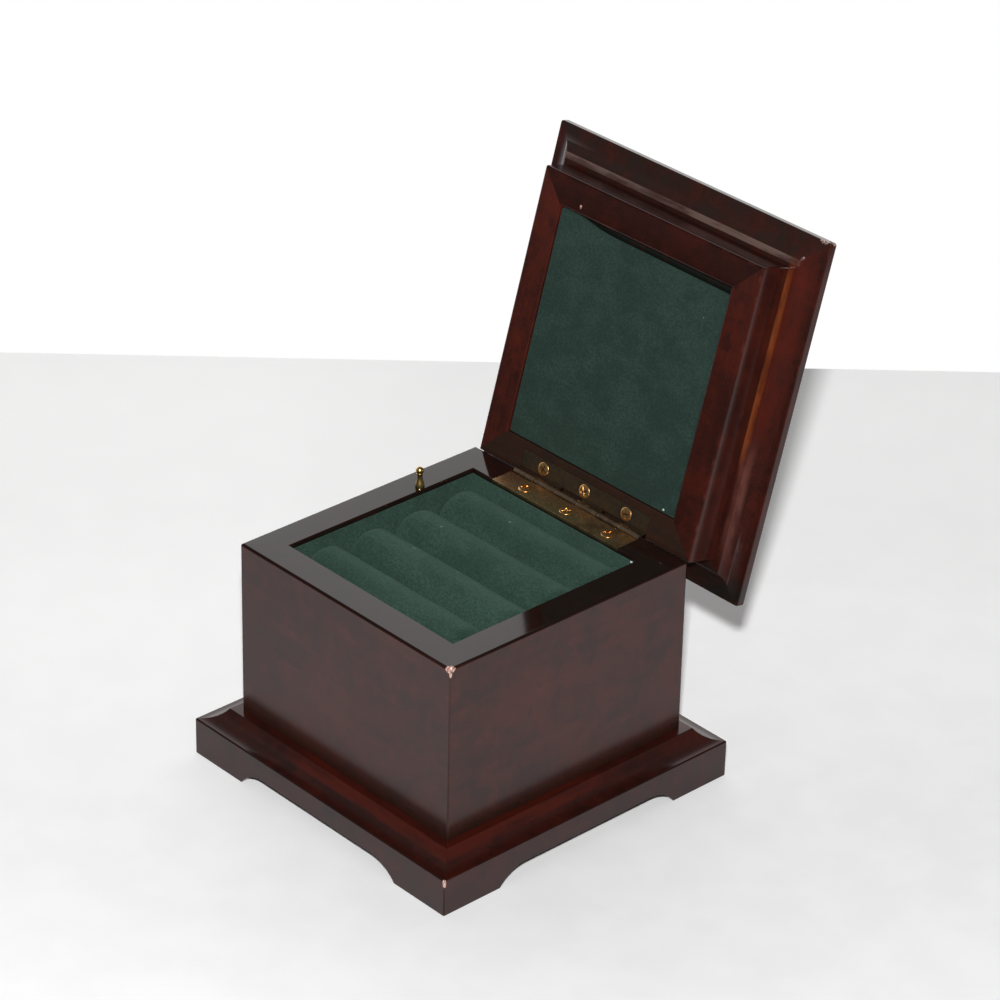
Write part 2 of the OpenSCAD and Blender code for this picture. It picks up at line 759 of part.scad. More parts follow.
module music_comb() {
    x0 = drum_left + 0.25;
    color(steel)
    translate([0, 0, drum_z - comb_t / 2])
    difference() {
        union() {
            translate([x0 - 0.3, -comb_back_y, 0])
                cube([notes * note_pitch + 0.6, comb_base_w, comb_t]);
            for (i = [0 : notes - 1])
                translate([x0 + (i + 0.15) * note_pitch, -comb_base_y - 1, 0])
                    cube([0.7 * note_pitch, comb_base_y + 1 - comb_tip_y, comb_t]);
            // the treble teeth are shorter, so the plate runs further forward there
            for (i = [1 : notes - 1])
                translate([x0 + i * note_pitch - 0.5, -comb_base_y - 1, 0])
                    cube([(notes - i) * note_pitch + 0.5, 1 + i * 0.15, comb_t]);
        }
        for (p = comb_screws_at)
            translate([p[0], p[1], -comb_t])
                cylinder(r = comb_shank_r + run_fit, h = 3 * comb_t, $fn = 32);
    }
}
module comb_screws() {
    color(steel)
    for (p = comb_screws_at)
        translate([p[0], p[1], drum_z + comb_t / 2])
            rotate([180, 0, 0]) pan_screw(2.1, comb_shank_r, 1.2, comb_screw_l);
}
module governor_frame() {
    color([0.85, 0.84, 0.78])
    difference() {
        union() {
            translate([governor_left, governor_y, bed_top])
                cube([governor_right - governor_left, pin_y + 4.5 - governor_y, plate_t]);
            // bearing plates of the second arbor
            translate([governor_left, governor_y, bed_top])
                cube([plate_t, 4.3, drum_z + 6.9 - bed_top]);
            translate([governor_right - plate_t, second_y - 1.4, bed_top])
                cube([plate_t, 3.6, drum_z + 2.8 - bed_top]);
            // arm with the worm's upper bearing
            translate([governor_left, governor_y, drum_z + 6.9 - plate_t])
                cube([6.3, pin_y + 1.9 - governor_y, plate_t]);
        }
        translate([0, second_y, drum_z]) rod_x(-case_w, drum_right - 5, fine_r + run_fit);
        translate([-worm_x, pin_y, bed_top + 0.5])
            cylinder(r = fine_r + run_fit, h = 40, $fn = 32);
        translate([governor_screw_at[0], governor_screw_at[1], bed_top - 1])
            cylinder(r = governor_shank_r + run_fit, h = 5, $fn = 32);
    }
}
module governor_screw() {
    color(steel)
    translate([governor_screw_at[0], governor_screw_at[1], bed_top + plate_t])
        rotate([180, 0, 0]) pan_screw(1.8, governor_shank_r, 1, 2.6);
}
module clutch_spring() {
    color(steel)
    translate([arbor_x, 0, panel_z + 0.6]) coil(arbor_r + 0.6, 0.25, clutch_l, 3);
}
module winding_arbor() {
    color(steel)
    translate([arbor_x, 0, arbor_foot_z])
        cylinder(r = arbor_r, h = barrel_top + 0.8 - arbor_foot_z, $fn = 48);
}
module winding_key() {
    wing_t = 1.8;
    wing_x = 5.6;
    wing_z = 5.1;
    wing_r = 4.2;
    color(brass)
    translate([arbor_x, 0, 0])
    difference() {
        union() {
            translate([0, 0, 3]) cylinder(r = 3, h = panel_z - 0.7 - 3, $fn = 48);
            translate([-wing_x, -wing_t / 2, 3]) cube([2 * wing_x, wing_t, 4.2]);
            for (s = [-1, 1])
                translate([s * wing_x, wing_t / 2, wing_z])
                    rotate([90, 0, 0]) cylinder(r = wing_r, h = wing_t, $fn = 48);
        }
        translate([0, 0, arbor_foot_z]) cylinder(r = arbor_r + run_fit / 2, h = 10, $fn = 48);
        for (s = [-1, 1])
            translate([s * (wing_x + 0.9), wing_t, wing_z])
                rotate([90, 0, 0]) cylinder(r = 1.7, h = 2 * wing_t, $fn = 32);
    }
}
module spring_barrel() {
    wall = 1;
    tooth_l = 1.8;
    color(brass)
    translate([arbor_x, 0, 0])
    difference() {
        union() {
            translate([0, 0, barrel_z]) cylinder(r = barrel_r, h = barrel_h, $fn = 96);
            for (i = [0 : crown_teeth - 1])
                rotate(180 + (i + 0.5) * 360 / crown_teeth)
                    translate([crown_r - tooth_l / 2, 0, barrel_top])
                        rotate([90, 0, 90])
                            linear_extrude(tooth_l)
                                polygon([[-0.6, -0.2], [0.6, -0.2], [0.3, 1.4], [-0.3, 1.4]]);
        }
        translate([0, 0, barrel_z - 1]) cylinder(r = barrel_r - wall, h = barrel_h, $fn = 96);
        translate([0, 0, barrel_z]) cylinder(r = arbor_r + run_fit, h = 12, $fn = 48);
    }
}
module barrel_cover() {
    color(brass)
    translate([arbor_x, 0, barrel_z])
    difference() {
        cylinder(r = barrel_r - 1, h = cover_t, $fn = 96);
        translate([0, 0, -cover_t]) cylinder(r = arbor_r + run_fit, h = 3 * cover_t, $fn = 48);
    }
}
module mainspring() {
    turns = 5;
    steps = 24;
    strip = 0.4;
    r0 = arbor_r + 0.8;
    r1 = barrel_r - 1 - strip - 0.05;
    n = turns * steps;
    function spot(i, d) = let (r = r0 + (r1 - r0) * i / n + d, a = i * 360 / steps)
        [r * cos(a), r * sin(a)];
    color([0.35, 0.38, 0.45])
    translate([arbor_x, 0, barrel_z + 1.2])
        linear_extrude(barrel_h - 2.8)
            polygon(concat([for (i = [0 : n]) spot(i, 0)], [for (i = [n : -1 : 0]) spot(i, strip)]));
}
module music_cylinder() {
    wall = 0.8;
    end_t = 2;
    pins = 3;
    color([0.72, 0.6, 0.3])
    translate([0, 0, drum_z])
    difference() {
        union() {
            rod_x(drum_left, drum_right, drum_r);
            for (t = [0 : notes - 1]) for (k = [0 : pins - 1])
                rotate([(t * 137 + k * 113) % 360, 0, 0])
                    translate([drum_left + 0.25 + (t + 0.5) * note_pitch, 0, drum_r - 0.3])
                        cylinder(r = 0.2, h = note_h + 0.3, $fn = 6);
        }
        rod_x(drum_left - 1, drum_right - end_t, drum_r - wall);
        rod_x(drum_left, drum_right + 1, shaft_r + 0.02);
    }
}
module cylinder_shaft() {
    color(steel)
    translate([0, 0, drum_z]) rod_x(left_post_x - 0.6, pinion_x + 1.2, shaft_r);
}
module cylinder_pinion() {
    color(steel)
    translate([pinion_x - 0.9, 0, drum_z])
        rotate([0, 90, 0]) {
            gear(pinion_teeth, pinion_r - 0.8, pinion_r + 0.6, 1.25, 0.55, pinion_w, shaft_r + 0.02);
            translate([0, 0, -0.7])
                difference() {
                    cylinder(r = 2.4, h = 0.8, $fn = 48);
                    translate([0, 0, -1]) cylinder(r = shaft_r + 0.02, h = 3, $fn = 32);
                }
        }
}
module cylinder_wheel() {
    wheel_r = spur_m * wheel_teeth / 2;
    color(brass)
    translate([wheel_x, 0, drum_z])
        rotate([0, 90, 0]) {
            gear(wheel_teeth, wheel_r - 0.55, wheel_r + 0.44, 0.62, 0.26, 1.4, shaft_r + 0.02);
            translate([0, 0, 1.3])
                difference() {
                    cylinder(r = 2.5, h = 3, $fn = 48);
                    translate([0, 0, -1]) cylinder(r = shaft_r + 0.02, h = 5, $fn = 32);
                }
        }
}
module second_gear() {
    pitch_r = spur_m * second_teeth / 2;
    color([0.9, 0.88, 0.82])
    translate([0, second_y, drum_z]) {
        translate([wheel_x - 0.1, 0, 0])
            rotate([0, 90, 0]) rotate(18)
                gear(second_teeth, pitch_r - 0.55, pitch_r + 0.44, 0.62, 0.26, 1.6, fine_r + 0.02);
        translate([wheel_x - 2.6, 0, 0])
            rotate([0, 90, 0])
                difference() {
                    cylinder(r = 1.4, h = 2.6, $fn = 32);
                    translate([0, 0, -1]) cylinder(r = fine_r + 0.02, h = 5, $fn = 32);
                }
        translate([-worm_x - 0.6, 0, 0])
            rotate([0, 90, 0])
                gear(worm_teeth, worm_wheel_r - 0.6, worm_wheel_r + 0.5, 0.7, 0.3, 1.2, fine_r + 0.02);
    }
}
module second_arbor() {
    color(steel)
    translate([0, second_y, drum_z]) rod_x(governor_left + 0.2, governor_right - 0.2, fine_r);
}
module governor_worm() {
    root = worm_r - 0.6;
    tip = worm_r + 0.5;
    start = -90 - 360 * (worm_l / 2) / worm_lead;
    flank = [for (a = [-70, -35, 0, 35, 70])
        let (r = root + (tip - root) * min(1, (70 - abs(a)) / 35)) [r * cos(a), r * sin(a)]];
    back = [for (a = [106 : 37 : 254]) [root * cos(a), root * sin(a)]];
    color(steel)
    translate([-worm_x, pin_y, 0]) {
        translate([0, 0, bed_top + 0.7]) cylinder(r = fine_r, h = drum_z + 6.6 - bed_top - 0.7, $fn = 32);
        translate([0, 0, drum_z - worm_l / 2])
            rotate(start)
                linear_extrude(worm_l, twist = -360 * worm_l / worm_lead, slices = 34)
                    polygon(concat(flank, back));
    }
}
module air_brake() {
    color([0.2, 0.2, 0.22])
    translate([-worm_x, pin_y, brake_z])
    difference() {
        union() {
            cylinder(r = 1.3, h = brake_h, $fn = 32);
            translate([-brake_r, -0.3, 0]) cube([2 * brake_r, 0.6, brake_h]);
        }
        translate([0, 0, -1]) cylinder(r = fine_r + 0.02, h = brake_h + 2, $fn = 32);
    }
}

// ---- the pieces, with the origin under the middle of the open box ----

translate([0, -middle_y, 0]) {
    plinth_front();
    plinth_back();
    plinth_left();
    plinth_right();
    case_front();
    case_back();
    case_left();
    case_right();
    bottom_panel();
    bottom_screws();
    tray_board();
    tray_cleats();
    tray_lining();
    ring_roll_1();
    ring_roll_2();
    ring_roll_3();
    ring_roll_4();
    hinge_leaf_lower();
    hinge_pin();
    hinge_screws_lower();
    lid_top();
    lid_rail_front();
    lid_rail_back();
    lid_rail_left();
    lid_rail_right();
    lid_card();
    lid_velvet();
    hinge_leaf_upper();
    hinge_screws_upper();
    stop_pin();
    stop_wire();
    stop_pin_spring();
    movement_bedplate();
    movement_screws();
    music_comb();
    comb_screws();
    governor_frame();
    governor_screw();
    clutch_spring();
    winding_arbor();
    winding_key();
    spring_barrel();
    barrel_cover();
    mainspring();
    music_cylinder();
    cylinder_shaft();
    cylinder_pinion();
    cylinder_wheel();
    second_gear();
    second_arbor();
    governor_worm();
    air_brake();
}
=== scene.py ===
"""Looks of the musical ring box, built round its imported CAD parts.

Lengths are in metres. Case pieces are drawn about the middle of the case on the floor, and
lid pieces as if the lid were closed; the CASE and LID matrices then put them in place.
Each side of a frame is drawn as the front side and turned to the others.
"""
import json
import math

import bmesh
import bpy
import numpy as np
from mathutils import Matrix, Vector, noise


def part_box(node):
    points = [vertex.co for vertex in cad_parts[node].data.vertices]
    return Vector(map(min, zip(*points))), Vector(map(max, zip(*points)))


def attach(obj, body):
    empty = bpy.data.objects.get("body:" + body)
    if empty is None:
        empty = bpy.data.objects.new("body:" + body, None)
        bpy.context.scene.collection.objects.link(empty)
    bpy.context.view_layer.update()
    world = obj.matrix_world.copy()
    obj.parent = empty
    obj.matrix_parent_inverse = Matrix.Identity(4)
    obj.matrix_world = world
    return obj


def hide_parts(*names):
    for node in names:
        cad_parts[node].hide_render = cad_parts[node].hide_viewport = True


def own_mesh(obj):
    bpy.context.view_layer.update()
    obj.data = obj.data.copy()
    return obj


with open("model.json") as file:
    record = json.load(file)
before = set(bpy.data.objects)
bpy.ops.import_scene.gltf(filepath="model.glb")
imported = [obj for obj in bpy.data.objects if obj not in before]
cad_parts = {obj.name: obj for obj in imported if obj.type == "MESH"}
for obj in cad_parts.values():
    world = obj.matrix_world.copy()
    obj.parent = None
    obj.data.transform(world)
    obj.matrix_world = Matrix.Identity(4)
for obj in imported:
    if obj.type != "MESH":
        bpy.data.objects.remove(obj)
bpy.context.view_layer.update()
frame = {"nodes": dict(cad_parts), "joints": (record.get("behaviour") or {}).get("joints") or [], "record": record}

MM = 0.001

# ---- sizes, taken from the frame ----

plinth_low, plinth_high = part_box("plinth_front")
case_low, case_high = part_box("case_right")
hinge = next(j for j in frame["joints"] if j["name"] == "lid_hinge")
HINGE_AXIS = Vector(hinge["pos_m"])
LID_ANGLE = math.radians(hinge["range_deg"][1])
CASE_Y = (plinth_low.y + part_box("plinth_back")[1].y) / 2

PLINTH = plinth_high.x                    # half widths, out from the middle of the case
WALL = case_high.x
INNER = case_low.x
RIM = case_high.z                         # heights above the floor
WALL_FOOT = case_low.z
PLINTH_TOP = plinth_high.z
AXIS = Vector((0, HINGE_AXIS.y - CASE_Y, HINGE_AXIS.z))

CASE = Matrix.Translation((0, CASE_Y, 0))
LID = (
    Matrix.Translation(HINGE_AXIS)
    @ Matrix.Rotation(-LID_ANGLE, 4, "X")
    @ Matrix.Translation(-AXIS)
)
SIDES = {"front": 0, "right": 90, "back": 180, "left": -90}

# the same sizes as in the CAD source
PLINTH_IN = 38.2 * MM
PLINTH_FACE = 11.3 * MM
PLINTH_MARGIN = 0.5 * MM
PLINTH_FILLET = 2.6 * MM
ARCH_H, ARCH_FLAT, ARCH_R = 4.8 * MM, 23 * MM, 11.5 * MM
LID_Z = 68.9 * MM
LID_OUT = 42.6 * MM
RAIL_TOP = 78.9 * MM
TOP_OUT = 52.5 * MM
TOP_EDGE, TOP_CHAMFER = 3.2 * MM, 0.8 * MM
TOP_T, TOP_MARGIN, TOP_FILLET = 6 * MM, 0.9 * MM, 2.6 * MM
LINING_RECESS, VELVET_T, CARD_T = 0.6 * MM, 0.6 * MM, 1.2 * MM
LINING_DROP = 1.3 * MM
HINGE_L, LEAF_T, KNUCKLE_R, KNUCKLES = 51 * MM, 0.9 * MM, 1.35 * MM, 6
UPPER_LEAF_W = 6.7 * MM
SCREW_PITCH, LOWER_SCREW_IN, UPPER_SCREW_IN = 16.75 * MM, 6 * MM, 3.9 * MM
LOWER_SCREW_SHIFT = 1.3 * MM
HEAD_R = 2 * MM
ROLLS, ROLL_R, ROLL_DROP = 4, 8.15 * MM, 2.2 * MM
PIN_X, PIN_Y, PIN_UP, PIN_R = -35.3 * MM, 15.1 * MM, 6.3 * MM, 1.35 * MM
PIN_ROD, PIN_HOLE_FOOT = 14 * MM, 40 * MM

# what follows from them
TOP = RAIL_TOP + TOP_T
LIP = TOP - TOP_EDGE                      # height where the lid board's edge starts
FIELD_Z = LID_Z + LINING_RECESS + VELVET_T + CARD_T
HINGE_GAP, KNUCKLE_GAP = 0.1 * MM, 0.35 * MM    # room in the wood round leaves and knuckles
HINGE_EDGE = AXIS.y - KNUCKLE_R - KNUCKLE_GAP   # where the leaves end and their knuckles start
HINGE_HALF = HINGE_L / 2 + HINGE_GAP
PAST = 1 * MM                             # how far a cutter reaches past what it cuts
ALONG_SIDE = [x * MM for x in range(-30, 31, 10)]
TURNS = {side: Matrix.Rotation(math.radians(a), 4, "Z") for side, a in SIDES.items()}

# ---- node trees ----


class Tree:
    """A short way to write a node tree: a value is a number, a colour or another node's socket."""

    def __init__(self, owner):
        owner.use_nodes = True
        self.tree = owner.node_tree
        self.tree.nodes.clear()

    def add(self, kind, inputs=None, output=0, **settings):
        made = self.tree.nodes.new("ShaderNode" + kind)
        for key, value in settings.items():
            setattr(made, key, value)
        for key, value in (inputs or {}).items():
            socket = made.inputs[key]
            if isinstance(value, bpy.types.NodeSocket):
                self.tree.links.new(value, socket)
            else:
                socket.default_value = value
        return made.outputs[output] if len(made.outputs) else made

    def noise(self, at, scale, detail=3.0, roughness=0.5):
        return self.add(
            "TexNoise", {"Vector": at, "Scale": scale, "Detail": detail, "Roughness": roughness}
        )

    def stretched(self, at, scale):
        return self.add("Mapping", {"Vector": at, "Scale": scale})

    def ramp(self, value, low, high, to_low=0.0, to_high=1.0):
        """value, eased from to_low at low to to_high at high."""
        return self.add(
            "MapRange",
            {0: value, 1: low, 2: high, 3: to_low, 4: to_high},
            interpolation_type="SMOOTHSTEP",
        )

    def math(self, operation, a, b=0.0, clamp=False):
        return self.add("Math", {0: a, 1: b}, operation=operation, use_clamp=clamp)

    def times(self, product, *others):
        for other in others:
            product = self.math("MULTIPLY", product, other)
        return product

    def mix(self, factor, a, b, blend="MIX"):
        return self.add("Mix", {0: factor, 6: a, 7: b}, 2, data_type="RGBA", blend_type=blend)

    def bump(self, height, depth):
        return self.add("Bump", {"Height": height, "Distance": depth})

    def surface(self, **sockets):
        """Ends the tree in a Principled BSDF. Spaces in socket names are written as _."""
        shader = self.add("BsdfPrincipled", {k.replace("_", " "): v for k, v in sockets.items()})
        self.add("OutputMaterial", {"Surface": shader})


def rgb(r, g, b):
    return (r, g, b, 1.0)


def object_place(t, reach):
    """Object coordinates, shifted by a random amount up to reach for each object."""
    at = t.add("TexCoord", output=3)
    shift = t.times(t.add("ObjectInfo", output=5), reach)
    return t.add("Mapping", {"Vector": at, "Location": shift})


def spot(t, at, centre, radii, fray, shift, fade):
    """1 in an ellipsoid with a ragged edge, and 0 outside it. fray is the noise that moves the
    edge, shift how far it moves it, and fade where the spot starts and ends to fade."""
    away = t.add("VectorMath", {0: at, 1: tuple(centre)}, operation="SUBTRACT")
    scaled = t.add("VectorMath", {0: away, 1: tuple(radii)}, operation="DIVIDE")
    distance = t.add("VectorMath", {0: scaled}, 1, operation="LENGTH")
    ragged = t.ramp(t.noise(at, *fray), 0.3, 0.7, -shift, shift)
    return t.ramp(t.math("ADD", distance, ragged), *fade, 1.0, 0.0)


def band(t, value, low, high, soft):
    """1 where value is between low and high, easing to 0 over soft outside them."""
    rise = t.ramp(value, low - soft, low)
    return t.times(rise, t.ramp(value, high, high + soft, 1.0, 0.0))


STAINS = (                                # ground, figure, red clouds, dark clouds and streaks
    (0.021, 0.0052, 0.0036), (0.033, 0.0066, 0.0043), (0.052, 0.0078, 0.0045),
    (0.011, 0.0038, 0.003),
)
PORES = (0.006, 0.0022, 0.0018)
CROWN_STAIN = (0.0085, 0.0042, 0.003)
END_GRAIN_STAIN = (0.016, 0.0085, 0.0064)
# paler, redder arrises: partly thin, rubbed lacquer and partly a painted highlight along them
THIN_LACQUER_AND_HIGHLIGHT = (0.1, 0.03, 0.018)
BARE_WOOD = (0.26, 0.11, 0.08), (0.58, 0.4, 0.34)
STREAK_FADE = 14 * MM                     # at the two ends of a streak
# how far painted shade fades out above its height
SHADE_FADE = 9 * MM


def stained_wood(t, place, grain, tone):
    """The stain's colour, and the mask of its pores."""
    along = t.stretched(place, ((0.07, 1, 1), (1, 0.07, 1))[grain])
    ground, figure, red, dark = (rgb(*(v * tone for v in colour)) for colour in STAINS)
    stain = t.mix(t.ramp(t.noise(along, 300, 4, 0.6), 0.3, 0.7), ground, figure)
    stain = t.mix(t.ramp(t.noise(place, 36, 4, 0.6), 0.42, 0.7, 0.0, 0.55), stain, red)
    mottle = t.noise(place, 170, 4, 0.7)
    stain = t.mix(t.ramp(mottle, 0.5, 0.68, 0.0, 0.6), stain, red)
    stain = t.mix(t.ramp(mottle, 0.5, 0.34, 0.0, 0.5), stain, dark)
    stain = t.mix(t.ramp(t.noise(along, 1500, 3, 0.7), 0.56, 0.75, 0.0, 0.5), stain, dark)
    pores = t.ramp(t.noise(along, 5200, 2, 0.6), 0.64, 0.72)
    return t.mix(t.times(pores, 0.55), stain, rgb(*PORES)), pores


def end_grain(t, place, parts, out, top):
    """The mask of a board's end grain: beyond out along Y, and up to the height top."""
    across, along_y = (t.math("ABSOLUTE", parts[axis]) for axis in (0, 1))
    return t.times(
        t.ramp(t.math("SUBTRACT", along_y, across), -0.4 * MM, 0.5 * MM),
        t.ramp(along_y, out - 0.3 * MM, out),
        t.ramp(parts[2], top - 0.2 * MM, top, 1.0, 0.0),
        t.ramp(t.noise(place, 120, 4, 0.65), 0.35, 0.65, 0.95, 0.25),
    )


def streak_mask(t, place, parts, axis, low, high, soft, start, end, top, share):
    """The mask of one streak, broken up in strokes along it."""
    strokes = t.stretched(place, ((1, 0.3, 1), (0.2, 1, 1))[axis])
    mask = t.times(
        band(t, parts[axis], low, high, soft),
        band(t, parts[1 - axis], start, end, STREAK_FADE),
        t.ramp(parts[2], top, top + 0.4 * MM, 1.0, 0.0),
        t.ramp(t.noise(strokes, 330, 4, 0.6), 0.34, 0.6, 0.3, 1.0),
    )
    return t.math("MULTIPLY", mask, share, clamp=True)


def mahogany(
    name, chips=(), streaks=(), crown=None, tone=1.0, coat=0.14, arris_worn_and_painted=None, ends=None, grain=0,
    foot=None, bare_wood=BARE_WOOD,
):
    """Dark stained wood under clear lacquer, with its grain along the object's X or Y.

    chips: (centre, radii) in the object's own frame, where the lacquer is knocked off.
    streaks: (axis, low, high, soft, start, end, top, colour, share), bands of rubbed lacquer, painted
    shade and painted highlights: from low to high on one axis, from start to end on the other, up to top.
    crown: height of a top face that took the stain darker.
    tone: scales the stain.
    coat: the lacquer's roughness.
    worn: colour of the arrises: partly rubbed lacquer, partly painted shade for their dark reflection.
    ends: (distance out, height) of a board's end grain, which took the stain darker.
    grain: 0 for grain along X, 1 along Y.
    foot: (height, colour) of painted shade, browner and darker below that height, fading out just above it.
    bare_wood: the two colours in a chip."""
    made = bpy.data.materials.new(name)
    t = Tree(made)
    place = object_place(t, 0.37)
    stain, pores = stained_wood(t, place, grain, tone)
    # on the arrises the coat is thinner and the colour moves towards the arris colour: a painted highlight by
    # default, painted shade where a dark colour is given, both over rubbed lacquer
    wear_and_painted_light = t.add("Attribute", output=2, attribute_name="wear_and_painted_light")
    thin, bare_share = (0.8, 1.0) if arris_worn_and_painted else (0.0, 0.3)
    patchy = t.ramp(t.noise(place, 210, 3), 0.56, 0.7, thin, bare_share)
    stain = t.mix(t.times(wear_and_painted_light, patchy), stain, rgb(*(arris_worn_and_painted or THIN_LACQUER_AND_HIGHLIGHT)))
    at = t.add("TexCoord", output=3)
    parts = t.add("SeparateXYZ", {0: at}).node.outputs
    if crown:
        on_top = t.ramp(parts[2], crown - 0.4 * MM, crown - 0.1 * MM, 0.0, 0.85)
        stain = t.mix(on_top, stain, rgb(*CROWN_STAIN))
    # painted shade, browner and darker below a height
    if foot:
        shade_mix = t.ramp(parts[2], foot[0], foot[0] + SHADE_FADE, 0.6, 0.0)
        stain = t.mix(shade_mix, stain, rgb(*foot[1]))
    if ends:
        stain = t.mix(end_grain(t, place, parts, *ends), stain, rgb(*END_GRAIN_STAIN))
    for *where, colour, share in streaks:
        stain = t.mix(streak_mask(t, place, parts, *where, share), stain, rgb(*colour))
    rough = t.ramp(t.noise(place, 90, 4, 0.65), 0.3, 0.7, 0.32, 0.46)
    height = t.times(t.noise(place, 900, 3), 0.5)
    height = t.math("ADD", height, t.times(t.noise(place, 260, 2), 0.9))
    height = t.math("SUBTRACT", height, t.times(pores, 0.35))
    bare = None
    for centre, radii in chips:
        chip = spot(t, at, centre, radii, (1500, 4, 0.75), 0.3, (1.16, 1.26))
        bare = chip if bare is None else t.math("MAXIMUM", bare, chip)
    if bare is not None:
        raw = t.ramp(t.noise(at, 1900, 4), 0.4, 0.6)
        raw = t.mix(raw, *(rgb(*colour) for colour in bare_wood))
        stain = t.mix(bare, stain, raw)
        rough = t.math("MAXIMUM", rough, t.times(bare, 0.8))
    t.surface(
        Base_Color=stain,
        Roughness=rough,
        Specular_IOR_Level=0.0,
        Coat_Weight=t.math("SUBTRACT", 1.0, t.times(wear_and_painted_light, 0.55)),
        Coat_Roughness=coat,
        Coat_IOR=1.46,
        Normal=t.bump(height, 0.00002),
    )
    return made


NAP = 0.7                                 # how much the pile's shade varies
FINE_LINT, SHEEN = (0.09, 0.13, 0.115), (0.35, 0.62, 0.52)
WHITE_LINT, GREY_LINT = (0.5, 0.55, 0.52), (0.075, 0.12, 0.1)


def velvet(name, dark, light, specks=(), sheen=0.2, brush=(0.2, 1, 1)):
    """Short cut pile: fibre grain, patches where the nap lies another way, and a little lint.
    specks are (centre, radii, colour) of larger bits of lint, in the object's own frame, and brush
    stretches the stroke marks of the nap."""
    made = bpy.data.materials.new(name)
    t = Tree(made)
    at = t.add("TexCoord", output=3)
    place = object_place(t, 0.61)
    patch = t.noise(t.stretched(place, (0.7, 1.2, 1)), 130, 4, 0.62)
    brushed = t.noise(t.stretched(place, brush), 75, 3, 0.6)
    patch = t.math("ADD", t.times(patch, 0.6), t.times(brushed, 0.4))
    fibre = t.noise(place, 3300, 3, 0.85)
    tuft = t.noise(place, 1300, 2, 0.7)
    pile = t.mix(t.ramp(patch, 0.41, 0.6), rgb(*dark), rgb(*light))
    shade = t.ramp(fibre, 0.3, 0.7, 1 - NAP, 1 + NAP)
    shade = t.times(shade, t.ramp(tuft, 0.3, 0.7, 1 - NAP / 2, 1 + NAP / 2))
    pile = t.mix(1.0, pile, t.add("CombineColor", {0: shade, 1: shade, 2: shade}), "MULTIPLY")
    cells = {"Vector": place, "Scale": 210.0}
    reach = t.add("TexVoronoi", cells, 0, feature="F1")
    pick = t.add("SeparateColor", {0: t.add("TexVoronoi", cells, 1, feature="F1")}, 0)
    lint = t.times(t.ramp(pick, 0.93, 0.94), t.ramp(reach, 0.04, 0.07, 0.6, 0.0))
    pile = t.mix(lint, pile, rgb(*FINE_LINT))
    for centre, radii, colour in specks:
        speck = spot(t, at, centre, radii, (2500, 3, 0.7), 0.5, (0.9, 1.2))
        pile = t.mix(speck, pile, rgb(*colour))
    height = t.math("ADD", t.times(fibre, 0.5), t.times(patch, 0.6))
    t.surface(
        Base_Color=pile,
        Roughness=0.95,
        Specular_IOR_Level=0.1,
        Sheen_Weight=sheen,
        Sheen_Roughness=0.72,
        Sheen_Tint=rgb(*SHEEN),
        Normal=t.bump(height, 0.00025),
    )
    return made


def metal(name, clean, dull, rough=(0.25, 0.4), scale=260):
    """Metal with a patchy tarnish, from the clean to the dull colour."""
    made = bpy.data.materials.new(name)
    t = Tree(made)
    place = object_place(t, 0.23)
    patch = t.noise(place, scale, 4, 0.65)
    fine = t.noise(place, 2400, 3, 0.7)
    colour = t.mix(t.ramp(patch, 0.35, 0.68), rgb(*clean), rgb(*dull))
    colour = t.mix(t.ramp(fine, 0.55, 0.8, 0.0, 0.35), colour, rgb(*dull))
    t.surface(
        Base_Color=colour,
        Metallic=1.0,
        Roughness=t.ramp(patch, 0.3, 0.7, *rough),
        Normal=t.bump(fine, 0.000012),
    )
    return made


def plain(name, low, high, rough, scale=(1, 1, 1)):
    """A dry surface whose colour and height vary: raw wood, card or moulded plastic."""
    made = bpy.data.materials.new(name)
    t = Tree(made)
    grain = t.noise(t.stretched(object_place(t, 0.41), scale), 300, 5, 0.65)
    t.surface(
        Base_Color=t.mix(t.ramp(grain, 0.3, 0.7), rgb(*low), rgb(*high)),
        Roughness=t.ramp(grain, 0.3, 0.7, *rough),
        Specular_IOR_Level=0.35,
        Normal=t.bump(grain, 0.00003),
    )
    return made


# ---- meshes ----


def linked(name, data):
    """A new object in the scene."""
    made = bpy.data.objects.new(name, data)
    bpy.context.scene.collection.objects.link(made)
    return made


def mesh_object(name, verts, faces, marks=None):
    """A mesh object with outward normals, whose points in one place are made one.
    marks gives the wear attribute of each vertex."""
    mesh = bpy.data.meshes.new(name)
    mesh.from_pydata([tuple(v) for v in verts], [], faces)
    if marks is not None:
        mesh.attributes.new("wear_and_painted_light", "FLOAT", "POINT").data.foreach_set(
            "value", np.array(marks, np.float32)
        )
    shape = bmesh.new()
    shape.from_mesh(mesh)
    bmesh.ops.remove_doubles(shape, verts=shape.verts, dist=0.001 * MM)
    bmesh.ops.recalc_face_normals(shape, faces=shape.faces)
    shape.to_mesh(mesh)
    shape.free()
    return linked(name, mesh)


def smooth(made, angle=35, weighted=True):
    """Smooth shading, with edges sharper than angle kept."""
    made.data.polygons.foreach_set("use_smooth", [True] * len(made.data.polygons))
    made.data.set_sharp_from_angle(angle=math.radians(angle))
    if weighted:
        modifier = made.modifiers.new("normals", "WEIGHTED_NORMAL")
        modifier.keep_sharp = True
    return made


def place(made, matrix, body, material, node, slot):
    """Puts a piece in the row frame, on its body, in its material, in the place of a CAD node."""
    made.matrix_world = matrix
    made.data.materials.append(material)
    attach(made, body)
    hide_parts(node)
    return made


